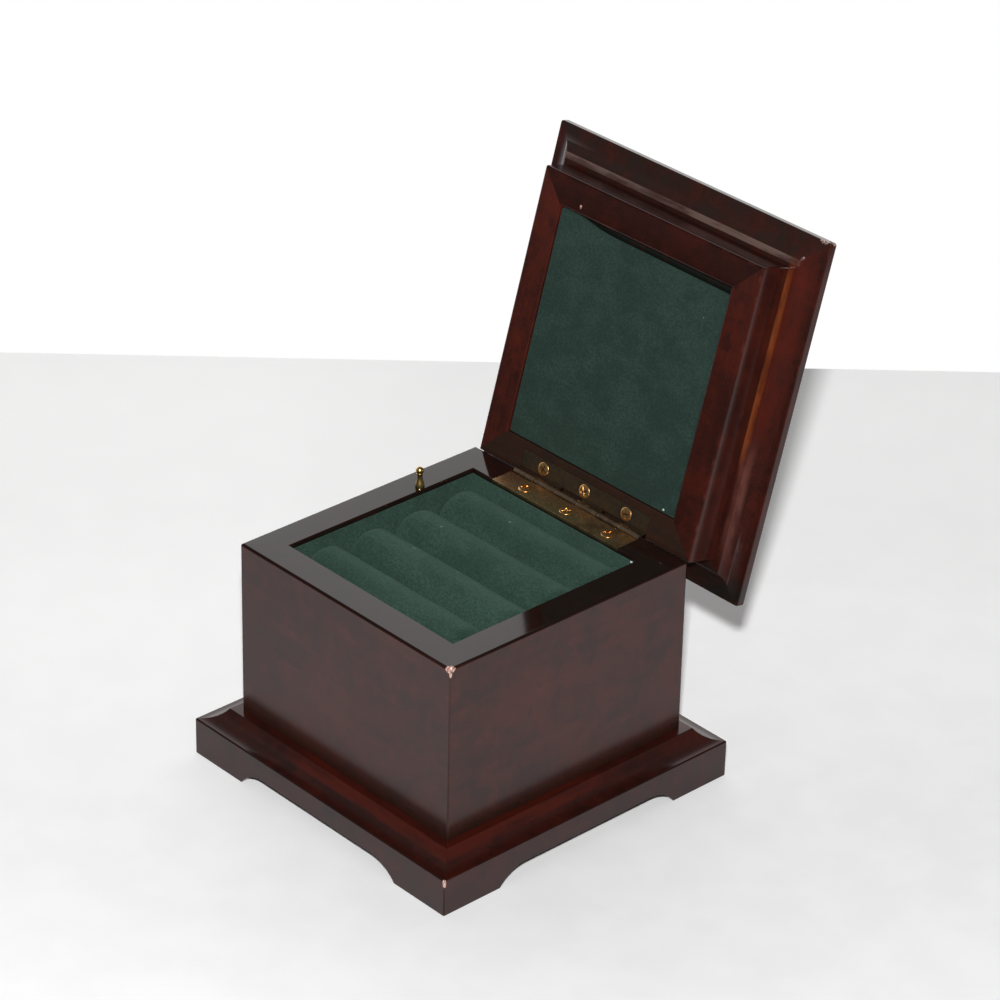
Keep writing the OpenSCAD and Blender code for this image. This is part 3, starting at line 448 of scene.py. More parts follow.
def cut(made, cutters):
    """Takes the cutters' shapes out of a piece, and deletes them."""
    for cutter in cutters:
        modifier = made.modifiers.new("cut", "BOOLEAN")
        modifier.object = cutter
        modifier.solver = "EXACT"
    bpy.context.view_layer.update()
    whole = made.evaluated_get(bpy.context.evaluated_depsgraph_get())
    mesh = bpy.data.meshes.new_from_object(whole)
    made.modifiers.clear()
    made.data = mesh
    for cutter in cutters:
        bpy.data.objects.remove(cutter)
    return made


def block(low, high):
    """A plain box, used to cut with."""
    low, high = Vector(low), Vector(high)
    corners = [
        Vector((x, y, z))
        for x in (low.x, high.x)
        for y in (low.y, high.y)
        for z in (low.z, high.z)
    ]
    faces = [(0, 1, 3, 2), (4, 6, 7, 5), (0, 4, 5, 1), (2, 3, 7, 6), (0, 2, 6, 4), (1, 5, 7, 3)]
    return mesh_object("cutter", corners, faces)


def across_hinge(low, high):
    """A cutter along the whole hinge, between two places (y, z)."""
    return block((-HINGE_HALF, *low), (HINGE_HALF, *high))


def rounded(corners, steps=3):
    """Points (d, z, wear) of a closed outline whose corners (d, z, radius) are rounded."""
    points = []
    for i, (d, z, radius) in enumerate(corners):
        here = Vector((d, z))
        if not radius:
            points.append((d, z, 0.0))
            continue
        back = (Vector(corners[i - 1][:2]) - here).normalized()
        ahead = (Vector(corners[(i + 1) % len(corners)][:2]) - here).normalized()
        half = back.angle(ahead) / 2
        centre = here + (back + ahead).normalized() * radius / math.sin(half)
        start = here + back * radius / math.tan(half) - centre
        end = here + ahead * radius / math.tan(half) - centre
        turn = start.angle_signed(end)
        for k in range(steps + 1):
            at = centre + Matrix.Rotation(-turn * k / steps, 2) @ start
            points.append((at.x, at.y, 0.0 if k in (0, steps) else 1.0))
    return points


def cove(start, end, steps=10):
    """Points of a hollow that runs level at its end, without start and end."""
    run, rise = end[0] - start[0], end[1] - start[1]
    centre = (end[0], end[1] - (run**2 + rise**2) / (2 * rise))
    a = math.atan2(start[1] - centre[1], start[0] - centre[0])
    b = math.atan2(end[1] - centre[1], end[0] - centre[0])
    b = a + (b - a + math.pi) % (2 * math.pi) - math.pi
    r = math.dist(start, centre)
    return [
        (centre[0] + r * math.cos(turn), centre[1] + r * math.sin(turn), 0)
        for turn in spread(a, b, steps)[1:-1]
    ]


def mitred(name, outline, corner_r, along=(), lift=None):
    """The front side of a mitred frame. outline holds (distance out, height, wear), corner_r
    rounds the frame's corners in plan, along are places on X, and lift(x, z) moves heights."""
    centre = max(d for d, z, arris_worn_and_painted in outline) - corner_r
    turns = [math.radians(a) for a in (45, 30, 15, 0)]
    verts, marks = [], []
    for d, z, arris_worn_and_painted in outline:
        r, c = max(d - centre, 0), min(d, centre)
        arc = [(-c - r * math.sin(a), -c - r * math.cos(a)) for a in turns]
        row = arc + [(x, -d) for x in along] + [(-x, y) for x, y in reversed(arc)]
        for k, (x, y) in enumerate(row):
            at_corner = r > 0 and (0 < k < 2 or len(row) - 3 < k < len(row) - 1)
            verts.append((x, y, lift(x, z) if lift else z))
            marks.append(max(arris_worn_and_painted, 1.0 if at_corner else 0.0))
    n = len(turns) * 2 + len(along)
    rows = len(outline)
    faces = [
        (i * n + k, i * n + k + 1, (i + 1) % rows * n + k + 1, (i + 1) % rows * n + k)
        for i in range(rows)
        for k in range(n - 1)
    ]
    faces.append([i * n for i in range(rows)])
    faces.append([i * n + n - 1 for i in reversed(range(rows))])
    return mesh_object(name, verts, faces, marks)


def ring_faces(rings, sides):
    """The faces between rings of points that have the same number of sides."""
    return [
        (i * sides + k, i * sides + (k + 1) % sides,
         (i + 1) * sides + (k + 1) % sides, (i + 1) * sides + k)
        for i in range(rings - 1)
        for k in range(sides)
    ]


def tube(name, verts, sides):
    """A solid from rings of points, closed at both ends."""
    last = len(verts) - sides
    caps = [list(reversed(range(sides))), [last + k for k in range(sides)]]
    return mesh_object(name, verts, ring_faces(len(verts) // sides, sides) + caps)


def turned(name, profile, sides=48):
    """A lathe-turned piece. profile holds (radius, height), from one end to the other."""
    angles = [2 * math.pi * k / sides for k in range(sides)]
    verts = [(r * math.cos(a), r * math.sin(a), z) for r, z in profile for a in angles]
    return tube(name, verts, sides)


def joined(name, objects):
    """Several meshes as one object."""
    shape = bmesh.new()
    for made in objects:
        shape.from_mesh(made.data)
        bpy.data.objects.remove(made)
    mesh = bpy.data.meshes.new(name)
    shape.to_mesh(mesh)
    shape.free()
    return linked(name, mesh)


def spread(low, high, steps):
    """Even steps from low to high, with both."""
    return [low + (high - low) * k / steps for k in range(steps + 1)]


# ---- chips ----


def chip(corner, shift, radii):
    """(centre, radii) of a chip that is shifted from a corner, both in millimetres."""
    centre = [c + s * MM for c, s in zip(corner, shift)]
    return centre, [r * MM for r in radii]


CHIPS = {                                 # about the middle of the case
    "case": [
        chip((WALL, -WALL, RIM), (-0.3, 0.3, -0.1), (1.35, 1.35, 0.95)),
        chip((WALL, -WALL, RIM), (0.1, 0.2, -1.7), (0.42, 0.5, 0.8)),
    ],
    "plinth": [chip((PLINTH, -PLINTH, PLINTH_FACE), (0, 0, -0.6), (0.55, 0.6, 1.5))],
    "lid_top": [
        chip((TOP_OUT, -TOP_OUT, LIP), (-2.4, 0.2, 0.1), (1.2, 0.5, 0.45)),
        chip((TOP_OUT, -TOP_OUT, TOP), (-1.2, 0, -1.9), (1.1, 0.4, 0.6)),
        chip((TOP_OUT, -TOP_OUT, TOP), (0, 0, -1.3), (0.6, 0.55, 0.8)),
        chip((LID_OUT, -LID_OUT, RAIL_TOP), (3.7, -3.7, 0.3), (0.9, 0.6, 0.7)),
    ],
    "lid_rail_front": [chip((0, -INNER, LID_Z), (-26, -2.3, 0), (0.3, 0.5, 0.2))],
}


def corner_chips(piece, side):
    """The chips on the near corner, where the front or the right side is drawn."""
    if side not in ("front", "right"):
        return []
    back = Matrix.Rotation(-math.radians(SIDES[side]), 3, "Z")
    return [(back @ Vector(c), [abs(v) for v in back @ Vector(r)]) for c, r in CHIPS[piece]]


def chip_away(made, chips):
    """Breaks the chips out of a piece, with rough balls."""
    cutters = []
    for i, (centre, radii) in enumerate(chips):
        mesh = bpy.data.meshes.new("cutter")
        shape = bmesh.new()
        bmesh.ops.create_icosphere(shape, subdivisions=3, radius=1)
        for v in shape.verts:
            v.co *= 0.92 + 0.32 * noise.noise(v.co * 1.7 + Vector((i * 5.3, 1.1, 0)))
            v.co = Vector(c + r * k for c, r, k in zip(centre, radii, v.co))
        shape.to_mesh(mesh)
        shape.free()
        cutters.append(linked("cutter", mesh))
    return cut(made, cutters)


# ---- materials ----

# colour of the arrises: partly rubbed lacquer, partly painted shade standing in for the dark reflection along them
ARRIS_WEAR_AND_SHADE = (0.009, 0.0045, 0.0035)           # colour of the dark arrises
# painted shade: at the bottom of the case walls, where the plinth's dark cove is reflected, and over the lid's
# back rail, the shaded bottom of the open lid
FOOT_SHADE, BACK_RAIL_SHADE = (0.0135, 0.0085, 0.0062), (0.021, 0.0145, 0.01)
TRAY_GREENS = (0.0105, 0.0248, 0.0172), (0.0165, 0.0364, 0.0256)
LID_GREENS = (0.0048, 0.0102, 0.008), (0.0092, 0.0184, 0.0144)
corner_lint = (*chip((0, 0, RIM - LINING_DROP), (31.6, 33, 0), (0.32, 0.32, 0.5)), WHITE_LINT)
green = velvet("velvet", *TRAY_GREENS, [corner_lint])
aged = metal("aged_brass", (0.34, 0.19, 0.085), (0.13, 0.07, 0.035), (0.3, 0.5))
# one brass for both hinge leaves, in a lit copy for the lower leaf and a shaded copy for the upper: painted light
# and painted shade
lit_lower_leaf = metal("lower_leaf_brass_painted_lit", (0.95, 0.6, 0.31), (0.27, 0.17, 0.09), (0.24, 0.42), 150)
shaded_upper_leaf = metal("upper_leaf_brass_painted_shade", (0.225, 0.165, 0.105), (0.09, 0.07, 0.05), (0.3, 0.5), 180)
bright = metal("copper_brass", (0.98, 0.6, 0.26), (0.5, 0.27, 0.1), (0.22, 0.38), 500)
knuckle_brass = metal("knuckle_brass", (0.54, 0.39, 0.26), (0.22, 0.145, 0.095), (0.13, 0.26), 500)
brass = metal("brass", (0.62, 0.44, 0.16), (0.38, 0.26, 0.1))
steel = metal("steel", (0.5, 0.5, 0.51), (0.32, 0.32, 0.33))
plywood = plain("plywood", (0.26, 0.15, 0.08), (0.42, 0.27, 0.16), (0.55, 0.75), (0.06, 1, 1))
card = plain("card", (0.38, 0.33, 0.25), (0.46, 0.41, 0.32), (0.8, 0.9))
ivory = plain("ivory_plastic", (0.66, 0.63, 0.53), (0.72, 0.69, 0.6), (0.35, 0.45))
black = plain("dark_plastic", (0.016, 0.016, 0.018), (0.03, 0.03, 0.032), (0.35, 0.45))

FINISHES = {
    "mahogany": mahogany("mahogany"),
    "velvet": green,
    "plywood": plywood,
    "card": card,
    "aged_brass": aged,
    "copper_brass": bright,
    "brass": brass,
    "steel": steel,
    "blued_steel": metal("blued_steel", (0.1, 0.12, 0.19), (0.06, 0.07, 0.1)),
    "zinc": metal("zinc", (0.55, 0.55, 0.54), (0.4, 0.4, 0.39), (0.4, 0.55)),
    "ivory_plastic": ivory,
    "dark_plastic": black,
}
for row in frame["record"]["subparts"]:
    for s in frame["nodes"][row["node"]].material_slots:
        s.material = FINISHES[row["material_slot"]]

# ---- plinth ----


def arch(x):
    """Height of the arch's soffit above the floor."""
    x = abs(x)
    if x <= ARCH_FLAT:
        return ARCH_H
    inside = ARCH_R**2 - (x - ARCH_FLAT) ** 2
    return max(0.0, ARCH_H - ARCH_R + math.sqrt(inside)) if inside > 0 else 0.0


TUCK = 0.25 * MM                          # how far the plinth's top runs in behind the wall


def plinth_outline():
    start, end = (WALL + PLINTH_FILLET, PLINTH_TOP), (PLINTH - PLINTH_MARGIN, PLINTH_FACE)
    return rounded(
        [
            (PLINTH_IN, 0, 0),
            (PLINTH_IN, WALL_FOOT, 0),
            (WALL - TUCK, WALL_FOOT, 0),
            (WALL - TUCK, PLINTH_TOP, 0),
            (*start, 0.3 * MM),
            *cove(start, end),
            (*end, 0),
            (PLINTH, PLINTH_FACE, 0.42 * MM),
            (PLINTH, 0, 0.25 * MM),
        ]
    )


ARCH_END = ARCH_FLAT + math.sqrt(ARCH_R**2 - (ARCH_R - ARCH_H) ** 2)
arch_side = spread(ARCH_FLAT, ARCH_END, 14)
arch_middle = spread(-ARCH_FLAT, ARCH_FLAT, 4)[1:-1]
plinth_along = [-x for x in reversed(arch_side)] + arch_middle + arch_side


def over_arch(x, z):
    """Lifts the outline's lowest points to the arch."""
    return z + arch(x) if z < 0.3 * MM else z


for side, turn in TURNS.items():
    start, end = (-9 * MM, WALL + 6 * MM) if side == "front" else (-WALL, 2 * MM)
    rubbed_step = (                       # redder where the duster reaches, beside the wall
        1, -WALL - 4.2 * MM, -WALL - 0.6 * MM, 1.2 * MM, start, end, PLINTH_TOP + 1 * MM,
        (0.046, 0.006, 0.0032), 0.95,
    )
    made = mitred(f"{side}_plinth_moulding", plinth_outline(), 0.45 * MM, plinth_along, over_arch)
    chips = corner_chips("plinth", side)
    smooth(chip_away(made, chips))
    finish = mahogany(f"plinth_{side}_wood", chips, [rubbed_step], tone=0.72, coat=0.2, arris_worn_and_painted=ARRIS_WEAR_AND_SHADE)
    place(made, CASE @ turn, "case", finish, f"plinth_{side}", "mahogany")

# ---- case walls ----

inner_shade = (                           # the wall's inner face above the velvet
    1, -INNER - 0.2 * MM, -INNER + 1 * MM, 0.1 * MM, -INNER, INNER, RIM - 0.35 * MM,
    (0.008, 0.005, 0.0038), 2.0,
)
wall_outline = rounded(
    [
        (INNER, WALL_FOOT, 0),
        (INNER, RIM, 0.35 * MM),
        (WALL, RIM, 0.75 * MM),
        (WALL, WALL_FOOT, 0),
    ]
)
for side, turn in TURNS.items():
    made = mitred(f"{side}_wall", wall_outline, 0.4 * MM, ALONG_SIDE)
    if side == "back":                    # drawn as the front side, so y is turned round
        leaf_bed = across_hinge((-WALL + PAST, RIM - LEAF_T), (-INNER + PAST, RIM + PAST))
        groove = across_hinge(
            (-WALL - PAST, AXIS.z - KNUCKLE_R - KNUCKLE_GAP), (-HINGE_EDGE, RIM + PAST)
        )
        cut(made, [leaf_bed, groove])
    if side == "left":
        ends = PIN_HOLE_FOOT, 2 * PIN_HOLE_FOOT
        hole = turned("cutter", [(PIN_R + 0.06 * MM, z) for z in ends])
        hole.data.transform(turn.inverted() @ Matrix.Translation((PIN_X, PIN_Y, 0)))
        cut(made, [hole])
    chips = corner_chips("case", side)
    smooth(chip_away(made, chips))
    # the walls get painted shade just above the plinth
    finish = mahogany(
        f"case_{side}_wood", chips, [inner_shade], coat=0.2, arris_worn_and_painted=ARRIS_WEAR_AND_SHADE,
        foot=(PLINTH_TOP, FOOT_SHADE),
    )
    place(made, CASE @ turn, "case", finish, f"case_{side}", "mahogany")
    polished = mahogany(f"rim_{side}_wood", chips, crown=RIM, coat=0.07, arris_worn_and_painted=ARRIS_WEAR_AND_SHADE)
    made.data.materials.append(polished)
    for face in made.data.polygons:
        face.material_index = int(face.center.z > RIM - 0.3 * MM)

# ---- lid ----

RAILS = {                                 # radii inside and outside in mm, and the stain's tone
    "front": (0.9, 0.85, 0.7),
    "right": (0.4, 0.85, 1.05),
    "back": (0.4, 0.5, 0.85),
    "left": (0.4, 0.85, 1.4),
}

for side, turn in TURNS.items():
    inner_r, outer_r, tone = RAILS[side]
    outline = rounded(
        [
            (INNER, LID_Z, inner_r * MM),
            (INNER, RAIL_TOP, 0),
            (LID_OUT, RAIL_TOP, 0),
            (LID_OUT, LID_Z, outer_r * MM),
        ]
    )
    made = mitred(f"{side}_lid_rail", outline, 0.55 * MM, ALONG_SIDE)
    back_shade, chips = None, []
    if side == "back":
        foot_z, back_y = LID_Z - PAST, -LID_OUT - PAST
        leaf_bed = across_hinge(
            (back_y, foot_z), (-LID_OUT + UPPER_LEAF_W + HINGE_GAP, LID_Z + LEAF_T)
        )
        groove = across_hinge((back_y, foot_z), (-HINGE_EDGE, AXIS.z + KNUCKLE_R + KNUCKLE_GAP))
        cut(made, [leaf_bed, groove])
        # painted shade over the whole back rail, which is the shaded bottom of the open lid
        back_shade = (RAIL_TOP, BACK_RAIL_SHADE)
    if side == "front":
        chips = CHIPS["lid_rail_front"]
    smooth(chip_away(made, chips))
    finish = mahogany(f"lid_rail_{side}_wood", chips, tone=tone, foot=back_shade)
    place(made, LID @ turn, "lid", finish, f"lid_rail_{side}", "mahogany")


def square_rings(name, outline, corner_r, across=(), move=None):
    """A solid of square rings. outline holds (half width, height, wear), from the middle of one
    face out round the edge to the middle of the other. corner_r rounds the corners in plan,
    across are places along a side from -1 to 1, and move(x, y, z) moves each point."""
    centre = max(d for d, z, arris_worn_and_painted in outline) - corner_r
    turns = spread(0, math.pi / 2, 6)
    verts, marks = [], []
    for d, z, arris_worn_and_painted in outline:
        r, c = max(d - centre, 0), min(d, centre)
        side = [(-c - r * math.cos(a), -c - r * math.sin(a)) for a in turns]
        side += [(f * c, -d) for f in across]
        for q in range(4):
            turn = Matrix.Rotation(math.radians(90 * q), 3, "Z")
            for k, (x, y) in enumerate(side):
                at = turn @ Vector((x, y, z))
                verts.append(Vector(move(*at)) if move else at)
                marks.append(max(arris_worn_and_painted, 1.0 if r > 0 and 0 < k < 6 else 0.0))
    n = 4 * (len(turns) + len(across))
    last = len(verts) - n
    caps = [list(range(n)), [last + k for k in reversed(range(n))]]
    return mesh_object(name, verts, ring_faces(len(outline), n) + caps, marks)


def lid_board():
    """The moulded top, with the raised field that fills the frame of rails."""
    start, end = (LID_OUT + TOP_FILLET, RAIL_TOP), (TOP_OUT - TOP_MARGIN, LIP)
    field = INNER - 0.1 * MM
    outline = rounded(
        [
            (0, FIELD_Z, 0),
            (field, FIELD_Z, 0),
            (field, RAIL_TOP, 0),
            (*start, 0.25 * MM),
            *cove(start, end, 14),
            (*end, 0),
            (TOP_OUT, LIP, 0.3 * MM),
            (TOP_OUT, TOP - TOP_CHAMFER, 0.6 * MM),
            (TOP_OUT - TOP_CHAMFER, TOP, 0.6 * MM),
            (0, TOP, 0),
        ]
    )
    return square_rings("lid_board", outline[1:-1], 0.8 * MM, (-0.6, -0.2, 0.2, 0.6))


made = smooth(chip_away(lid_board(), CHIPS["lid_top"]))
step_top, cove_top = RAIL_TOP + 0.35 * MM, RAIL_TOP + 5.25 * MM
bed = INNER + STREAK_FADE
lid_streaks = [
    # the lining's bed, painted near-black as shade, so that the gap at the lining's free edge reads dark
    (0, -bed, bed, 1 * MM, -bed, bed, FIELD_Z + 0.3 * MM, (0.006, 0.0075, 0.006), 2.0),
    # painted highlights: a pale reflection along the front step and an orange glow in the right step
    (1, -LID_OUT - TOP_FILLET - 0.2 * MM, -LID_OUT - 1.2 * MM, 0.15 * MM, -44 * MM, 44 * MM,
     step_top, (0.12, 0.076, 0.066), 0.95),
    (0, LID_OUT + 0.7 * MM, LID_OUT + 1.6 * MM, 1.1 * MM, -34 * MM, 4 * MM,
     step_top, (0.2, 0.052, 0.016), 1.0),
    # a red patch in the right cove, and a pale patch there that is a painted highlight
    (0, LID_OUT + 2 * MM, LID_OUT + 6.5 * MM, 2.5 * MM, -40 * MM, 0,
     cove_top, (0.06, 0.0065, 0.003), 0.55),
    (0, LID_OUT + 1.6 * MM, LID_OUT + 3.4 * MM, 1.3 * MM, 17 * MM, 31 * MM,
     cove_top, (0.098, 0.033, 0.026), 0.66),
    # painted shade at the near corner
    (1, LID_OUT + 5 * MM, TOP_OUT + 1 * MM, 4 * MM, 44 * MM, TOP_OUT,
     TOP - 0.5 * MM, (0.0085, 0.0065, 0.005), 1.1),
]
finish = mahogany(
    "lid_top_wood", CHIPS["lid_top"], lid_streaks, ends=(LID_OUT, TOP - TOP_CHAMFER), grain=1,
    bare_wood=((0.13, 0.08, 0.068), (0.36, 0.27, 0.24)),
)
place(made, LID, "lid", finish, "lid_top", "mahogany")

PANEL = INNER - 0.12 * MM                 # half width of the lining panel
GAP_X, GAP_Y = (-33 * MM, -11 * MM), 22 * MM    # where the gap at its free edge starts to open
GAP_FRONT, GAP_BACK = 1.9 * MM, 1.1 * MM        # how far it opens, and how much more behind
face_z, back_z = LID_Z + LINING_RECESS, FIELD_Z - 0.05 * MM
edge_r, thick = 0.45 * MM, 0.35 * MM
across = spread(-0.96, 0.96, 22)


def share(value, low, high):
    """How far value has come from low to high, from 0 to 1."""
    return min(1, max(0, (value - low) / (high - low)))


def short_edge(x, y, z):
    """The lining panel is cut askew, so that a gap opens along its free edge, and it lies a
    little unevenly."""
    open_up = share(x, *GAP_X)
    open_up = open_up * open_up * (3 - 2 * open_up) * (0.9 + 0.1 * x / PANEL)
    near_edge = share(-y, GAP_Y, PANEL)
    flat = share(PANEL - max(abs(x), abs(y)), 0, 6 * MM)
    wave = noise.noise(Vector((x * 60, y * 60, 0.4))) * flat if z < LID_Z + 1 * MM else 0
    behind = share(z, face_z + thick, face_z + thick + 1.1 * MM)
    return x, y + (GAP_FRONT + GAP_BACK * behind) * open_up * near_edge, z - 0.14 * MM * wave


curl = [
    (PANEL - edge_r + edge_r * math.sin(a), face_z + edge_r - edge_r * math.cos(a), 0.0)
    for a in spread(0, math.pi / 2, 6)
]
under = [
    (PANEL - thick, back_z, 0.0),
    (PANEL - thick, face_z + thick + 0.15 * MM, 0.0),
    (PANEL - thick - 0.15 * MM, face_z + thick, 0.0),
    (0.5 * MM, face_z + thick, 0.0),
]
outline = [(d, face_z, 0.0) for d in spread(0.5 * MM, PANEL - edge_r, 26)[:-1]]
outline += [*curl, (PANEL, back_z, 0.0), *under]
made = square_rings("lid_velvet_panel", outline, 0.9 * MM, across, short_edge)
smooth(made, 60, False)
specks = [(*chip((0, 0, face_z), (28.9, 32.4, 0), (0.3, 0.22, 0.4)), WHITE_LINT)]
lid_green = velvet("lid_velvet", *LID_GREENS, specks, 0.15, (1, 0.2, 1))
place(made, LID, "lid", lid_green, "lid_velvet", "velvet")

inside, card_z = PANEL - thick - 0.05 * MM, face_z + thick + 0.1 * MM
card_edge = rounded(
    [(0.5 * MM, back_z, 0), (inside, back_z, 0.1 * MM), (inside, card_z, 0.15 * MM)]
)
outline = [(0.5 * MM, card_z, 0.0), *card_edge[::-1]]
made = smooth(square_rings("lining_card", outline, 0.7 * MM, across, short_edge), 40)
place(made, LID, "lid", card, "lid_card", "card")

# ---- velvet tray ----

roll_z = RIM - ROLL_DROP - ROLL_R
tray_z = roll_z - ROLL_R
tray_half = INNER - VELVET_T
roll_half = tray_half - 0.3 * MM
pitch = 2 * tray_half / ROLLS

ROLL_LINT = {                             # centre and radii in mm, in each roll's own frame
    1: [((-19.8, 7.3, 5.5), (0.9, 0.45, 2))],
    2: [((-13.6, 2.6, 8), (0.8, 0.35, 1.5)), ((3.1, 3.5, 8), (0.45, 0.35, 1.5))],
    3: [((-17.7, -0.7, 8), (0.5, 0.3, 1.5))],
    4: [((-7.2, -1, 8), (0.5, 0.3, 1.5))],
}
ROLL_LIFTS = {1: 0.35 * MM}               # the front roll stands a little higher
NOSE_ROUND, NOSE_TIP = 2.3, 0.05          # power of the noses' curve, and size left at their tips


def ring_roll(index):
    """A foam roll in velvet: flat where it lies on the tray and against its neighbours,
    with ends that round over and sink."""
    rings, sides = 90, 72
    sag = noise.noise(Vector((index * 3.7, 0.5, 0)))
    lift = ROLL_LIFTS.get(index, 0.0)
    verts = []
    for i in range(rings + 1):
        along = i / rings * 2 - 1
        x = roll_half * math.copysign(1 - (1 - abs(along)) ** 1.25, along)
        nose = (5.2 + 1.6 * noise.noise(Vector((index * 1.9, along, 2.0)))) * MM
        into = max(0.0, (abs(x) - roll_half + nose) / nose)
        size = max(NOSE_TIP, (1 - min(1, into) ** NOSE_ROUND) ** (1 / NOSE_ROUND))
        drop = 0.9 * MM * into**2
        for k in range(sides):
            a = 2 * math.pi * k / sides
            dy, dz = math.cos(a), math.sin(a)
            squared = 1 if dz > 0 else 1 + 0.16 * math.sin(2 * a) ** 2
            y = ROLL_R * dy * squared * (0.35 + 0.65 * size if dz < 0 else size**0.8)
            z = ROLL_R * dz * squared * (size if dz > 0 else 0.6 + 0.4 * size)
            y = max(-pitch / 2, min(pitch / 2, y))
            z = max(-ROLL_R, z)
            lump = noise.noise(Vector((x * 55, (y + index * 0.05) * 70, z * 70)))
            fine = noise.noise(Vector((x * 240, y * 240 + index, z * 240)))
            swell = 1 + (0.022 * lump + 0.006 * fine) * (1 if dz > -0.2 else 0)
            rise = (lift + 0.35 * MM * noise.noise(Vector((x * 22, index, sag)))) * max(0, dz)
            verts.append((x, y * swell, z * swell - drop * max(0, dz) + rise))
    made = smooth(tube(f"velvet_roll_{index}", verts, sides), 70, False)
    at = Matrix.Translation((0, (index - (ROLLS + 1) / 2) * pitch, roll_z))
    specks = [(*chip((0, 0, 0), *lint), GREY_LINT) for lint in ROLL_LINT[index]]
    cloth = velvet(f"roll_{index}_velvet", *TRAY_GREENS, specks)
    place(made, CASE @ at, "case", cloth, f"ring_roll_{index}", "velvet")


for index in range(1, ROLLS + 1):
    ring_roll(index)


def lining():
    """Velvet glued round the inside of the walls, with a soft, slightly wavy upper edge."""
    top, wavy, wave_h = RIM - LINING_DROP, 3 * MM, 0.12 * MM
    outline = rounded(
        [
            (tray_half, tray_z, 0),
            (tray_half, top, 0.28 * MM),
            (INNER - 0.02 * MM, top, 0.28 * MM),
            (INNER - 0.02 * MM, tray_z, 0),
        ],
        4,
    )
    sides = []
    for side, turn in TURNS.items():
        made = mitred("side", outline, 0.05 * MM, spread(-32 * MM, 32 * MM, 80))
        for v in made.data.vertices:
            wave = noise.noise(Vector((v.co.x * 130, SIDES[side], 0)))
            v.co.z += wave_h * wave * share(v.co.z, top - wavy, top)
        made.data.transform(turn)
        sides.append(made)
    return joined("velvet_lining", sides)


made = smooth(lining(), 60, False)
place(made, CASE, "case", green, "tray_lining", "velvet")

# ---- hinge ----

STEP = HINGE_L / KNUCKLES
KNUCKLE_L = STEP - 0.3 * MM
BORE_R = 0.66 * MM


def leaf_plate(low, high, bevel):
    """A flat plate with rounded edges, between two corners."""
    made = block(low, high)
    modifier = made.modifiers.new("bevel", "BEVEL")
    modifier.width = bevel
    modifier.segments = 2
    return cut(made, [])


def hinge_knuckle(x):
    """A rolled barrel about the hinge axis, its two ends rounded over."""
    half, r, e = KNUCKLE_L / 2, KNUCKLE_R, 0.16 * MM
    end = [(r, half - e), (r - 0.3 * e, half - 0.3 * e), (r - e, half), (BORE_R, half)]
    made = turned("knuckle", [(d, -z) for d, z in reversed(end)] + end, 36)
    made.data.transform(
        Matrix.Translation((x, AXIS.y, AXIS.z)) @ Matrix.Rotation(math.radians(90), 4, "Y")
    )
    return made


def leaf(which):
    """0 is the lower leaf and 1 the upper, both drawn with the lid closed."""
    low_z, inner_y = (RIM - LEAF_T, INNER) if which == 0 else (LID_Z, LID_OUT - UPPER_LEAF_W)
    high_z = low_z + LEAF_T
    parts = [
        leaf_plate((-HINGE_L / 2, inner_y, low_z), (HINGE_L / 2, HINGE_EDGE, high_z), 0.12 * MM)
    ]
    for i in range(which, KNUCKLES, 2):
        x = (i + 0.5) * STEP - HINGE_L / 2
        left, right = x - KNUCKLE_L / 2, x + KNUCKLE_L / 2
        parts.append(hinge_knuckle(x))
        tongues = [(HINGE_EDGE - 0.4 * MM, low_z)]
        if which:
            tongues.append((AXIS.y - KNUCKLE_R, AXIS.z))
        for y, z in tongues:
            parts.append(leaf_plate((left, y, z), (right, AXIS.y, high_z), 0.1 * MM))
    return smooth(joined("hinge_leaf_" + ("lower_plate", "upper_plate")[which], parts), 40)


LEAVES = (CASE, "case", lit_lower_leaf, "hinge_leaf_lower"), (LID, "lid", shaded_upper_leaf, "hinge_leaf_upper")
for which, where in enumerate(LEAVES):
    made = place(leaf(which), *where, "aged_brass")
    made.data.materials.append(knuckle_brass)
    for face in made.data.polygons:
        from_axis = math.hypot(face.center.y - AXIS.y, face.center.z - AXIS.z)
        face.material_index = int(from_axis < KNUCKLE_R + 0.02 * MM)


def screw_head(angle):
    """The raised head of a wood screw with a cross recess, its seat at z = 0."""
    rim_h, dome_h, shank_r, tip_r = 0.05 * MM, 0.21 * MM, 0.9 * MM, 0.6 * MM
    dome = [
        (HEAD_R * math.cos(a), rim_h + dome_h * math.sin(a))
        for a in (math.radians(x) for x in (0, 12, 26, 42, 58, 74, 88))
    ]
    shank = [(tip_r, -5.2 * MM), (shank_r, -4 * MM), (shank_r, -LEAF_T), (HEAD_R, -0.02 * MM)]
    made = turned("head", shank + dome, 40)
    reach, wide, deep = 1.3 * MM, 0.24 * MM, 0.3 * MM
    slots = [block((-x, -y, -deep), (x, y, PAST)) for x, y in ((reach, wide), (wide, reach))]
    for s in slots:
        s.data.transform(Matrix.Rotation(angle, 4, "Z"))
    return cut(made, slots)


def screws(which, middle, flip, angles):
    """Three screws of one leaf, turned over by flip, their recesses at the given angles."""
    parts = []
    for i, angle in zip((-1, 0, 1), angles):
        made = screw_head(angle)
        at = Matrix.Translation(middle + Vector((i * SCREW_PITCH, 0, 0)))
        made.data.transform(at @ Matrix.Rotation(flip, 4, "X"))
        parts.append(made)
    return smooth(joined(f"hinge_screw_heads_{which}", parts), 30, False)


lower_row = Vector((LOWER_SCREW_SHIFT, WALL - LOWER_SCREW_IN, RIM))
upper_row = Vector((0, LID_OUT - UPPER_SCREW_IN, LID_Z))
made = screws("lower", lower_row, 0, (0.3, 0.9, 0.1))
place(made, CASE, "case", bright, "hinge_screws_lower", "copper_brass")
made = screws("upper", upper_row, math.pi, (1.1, 0.5, 0.2))
place(made, LID, "lid", bright, "hinge_screws_upper", "copper_brass")

# ---- stop pin ----


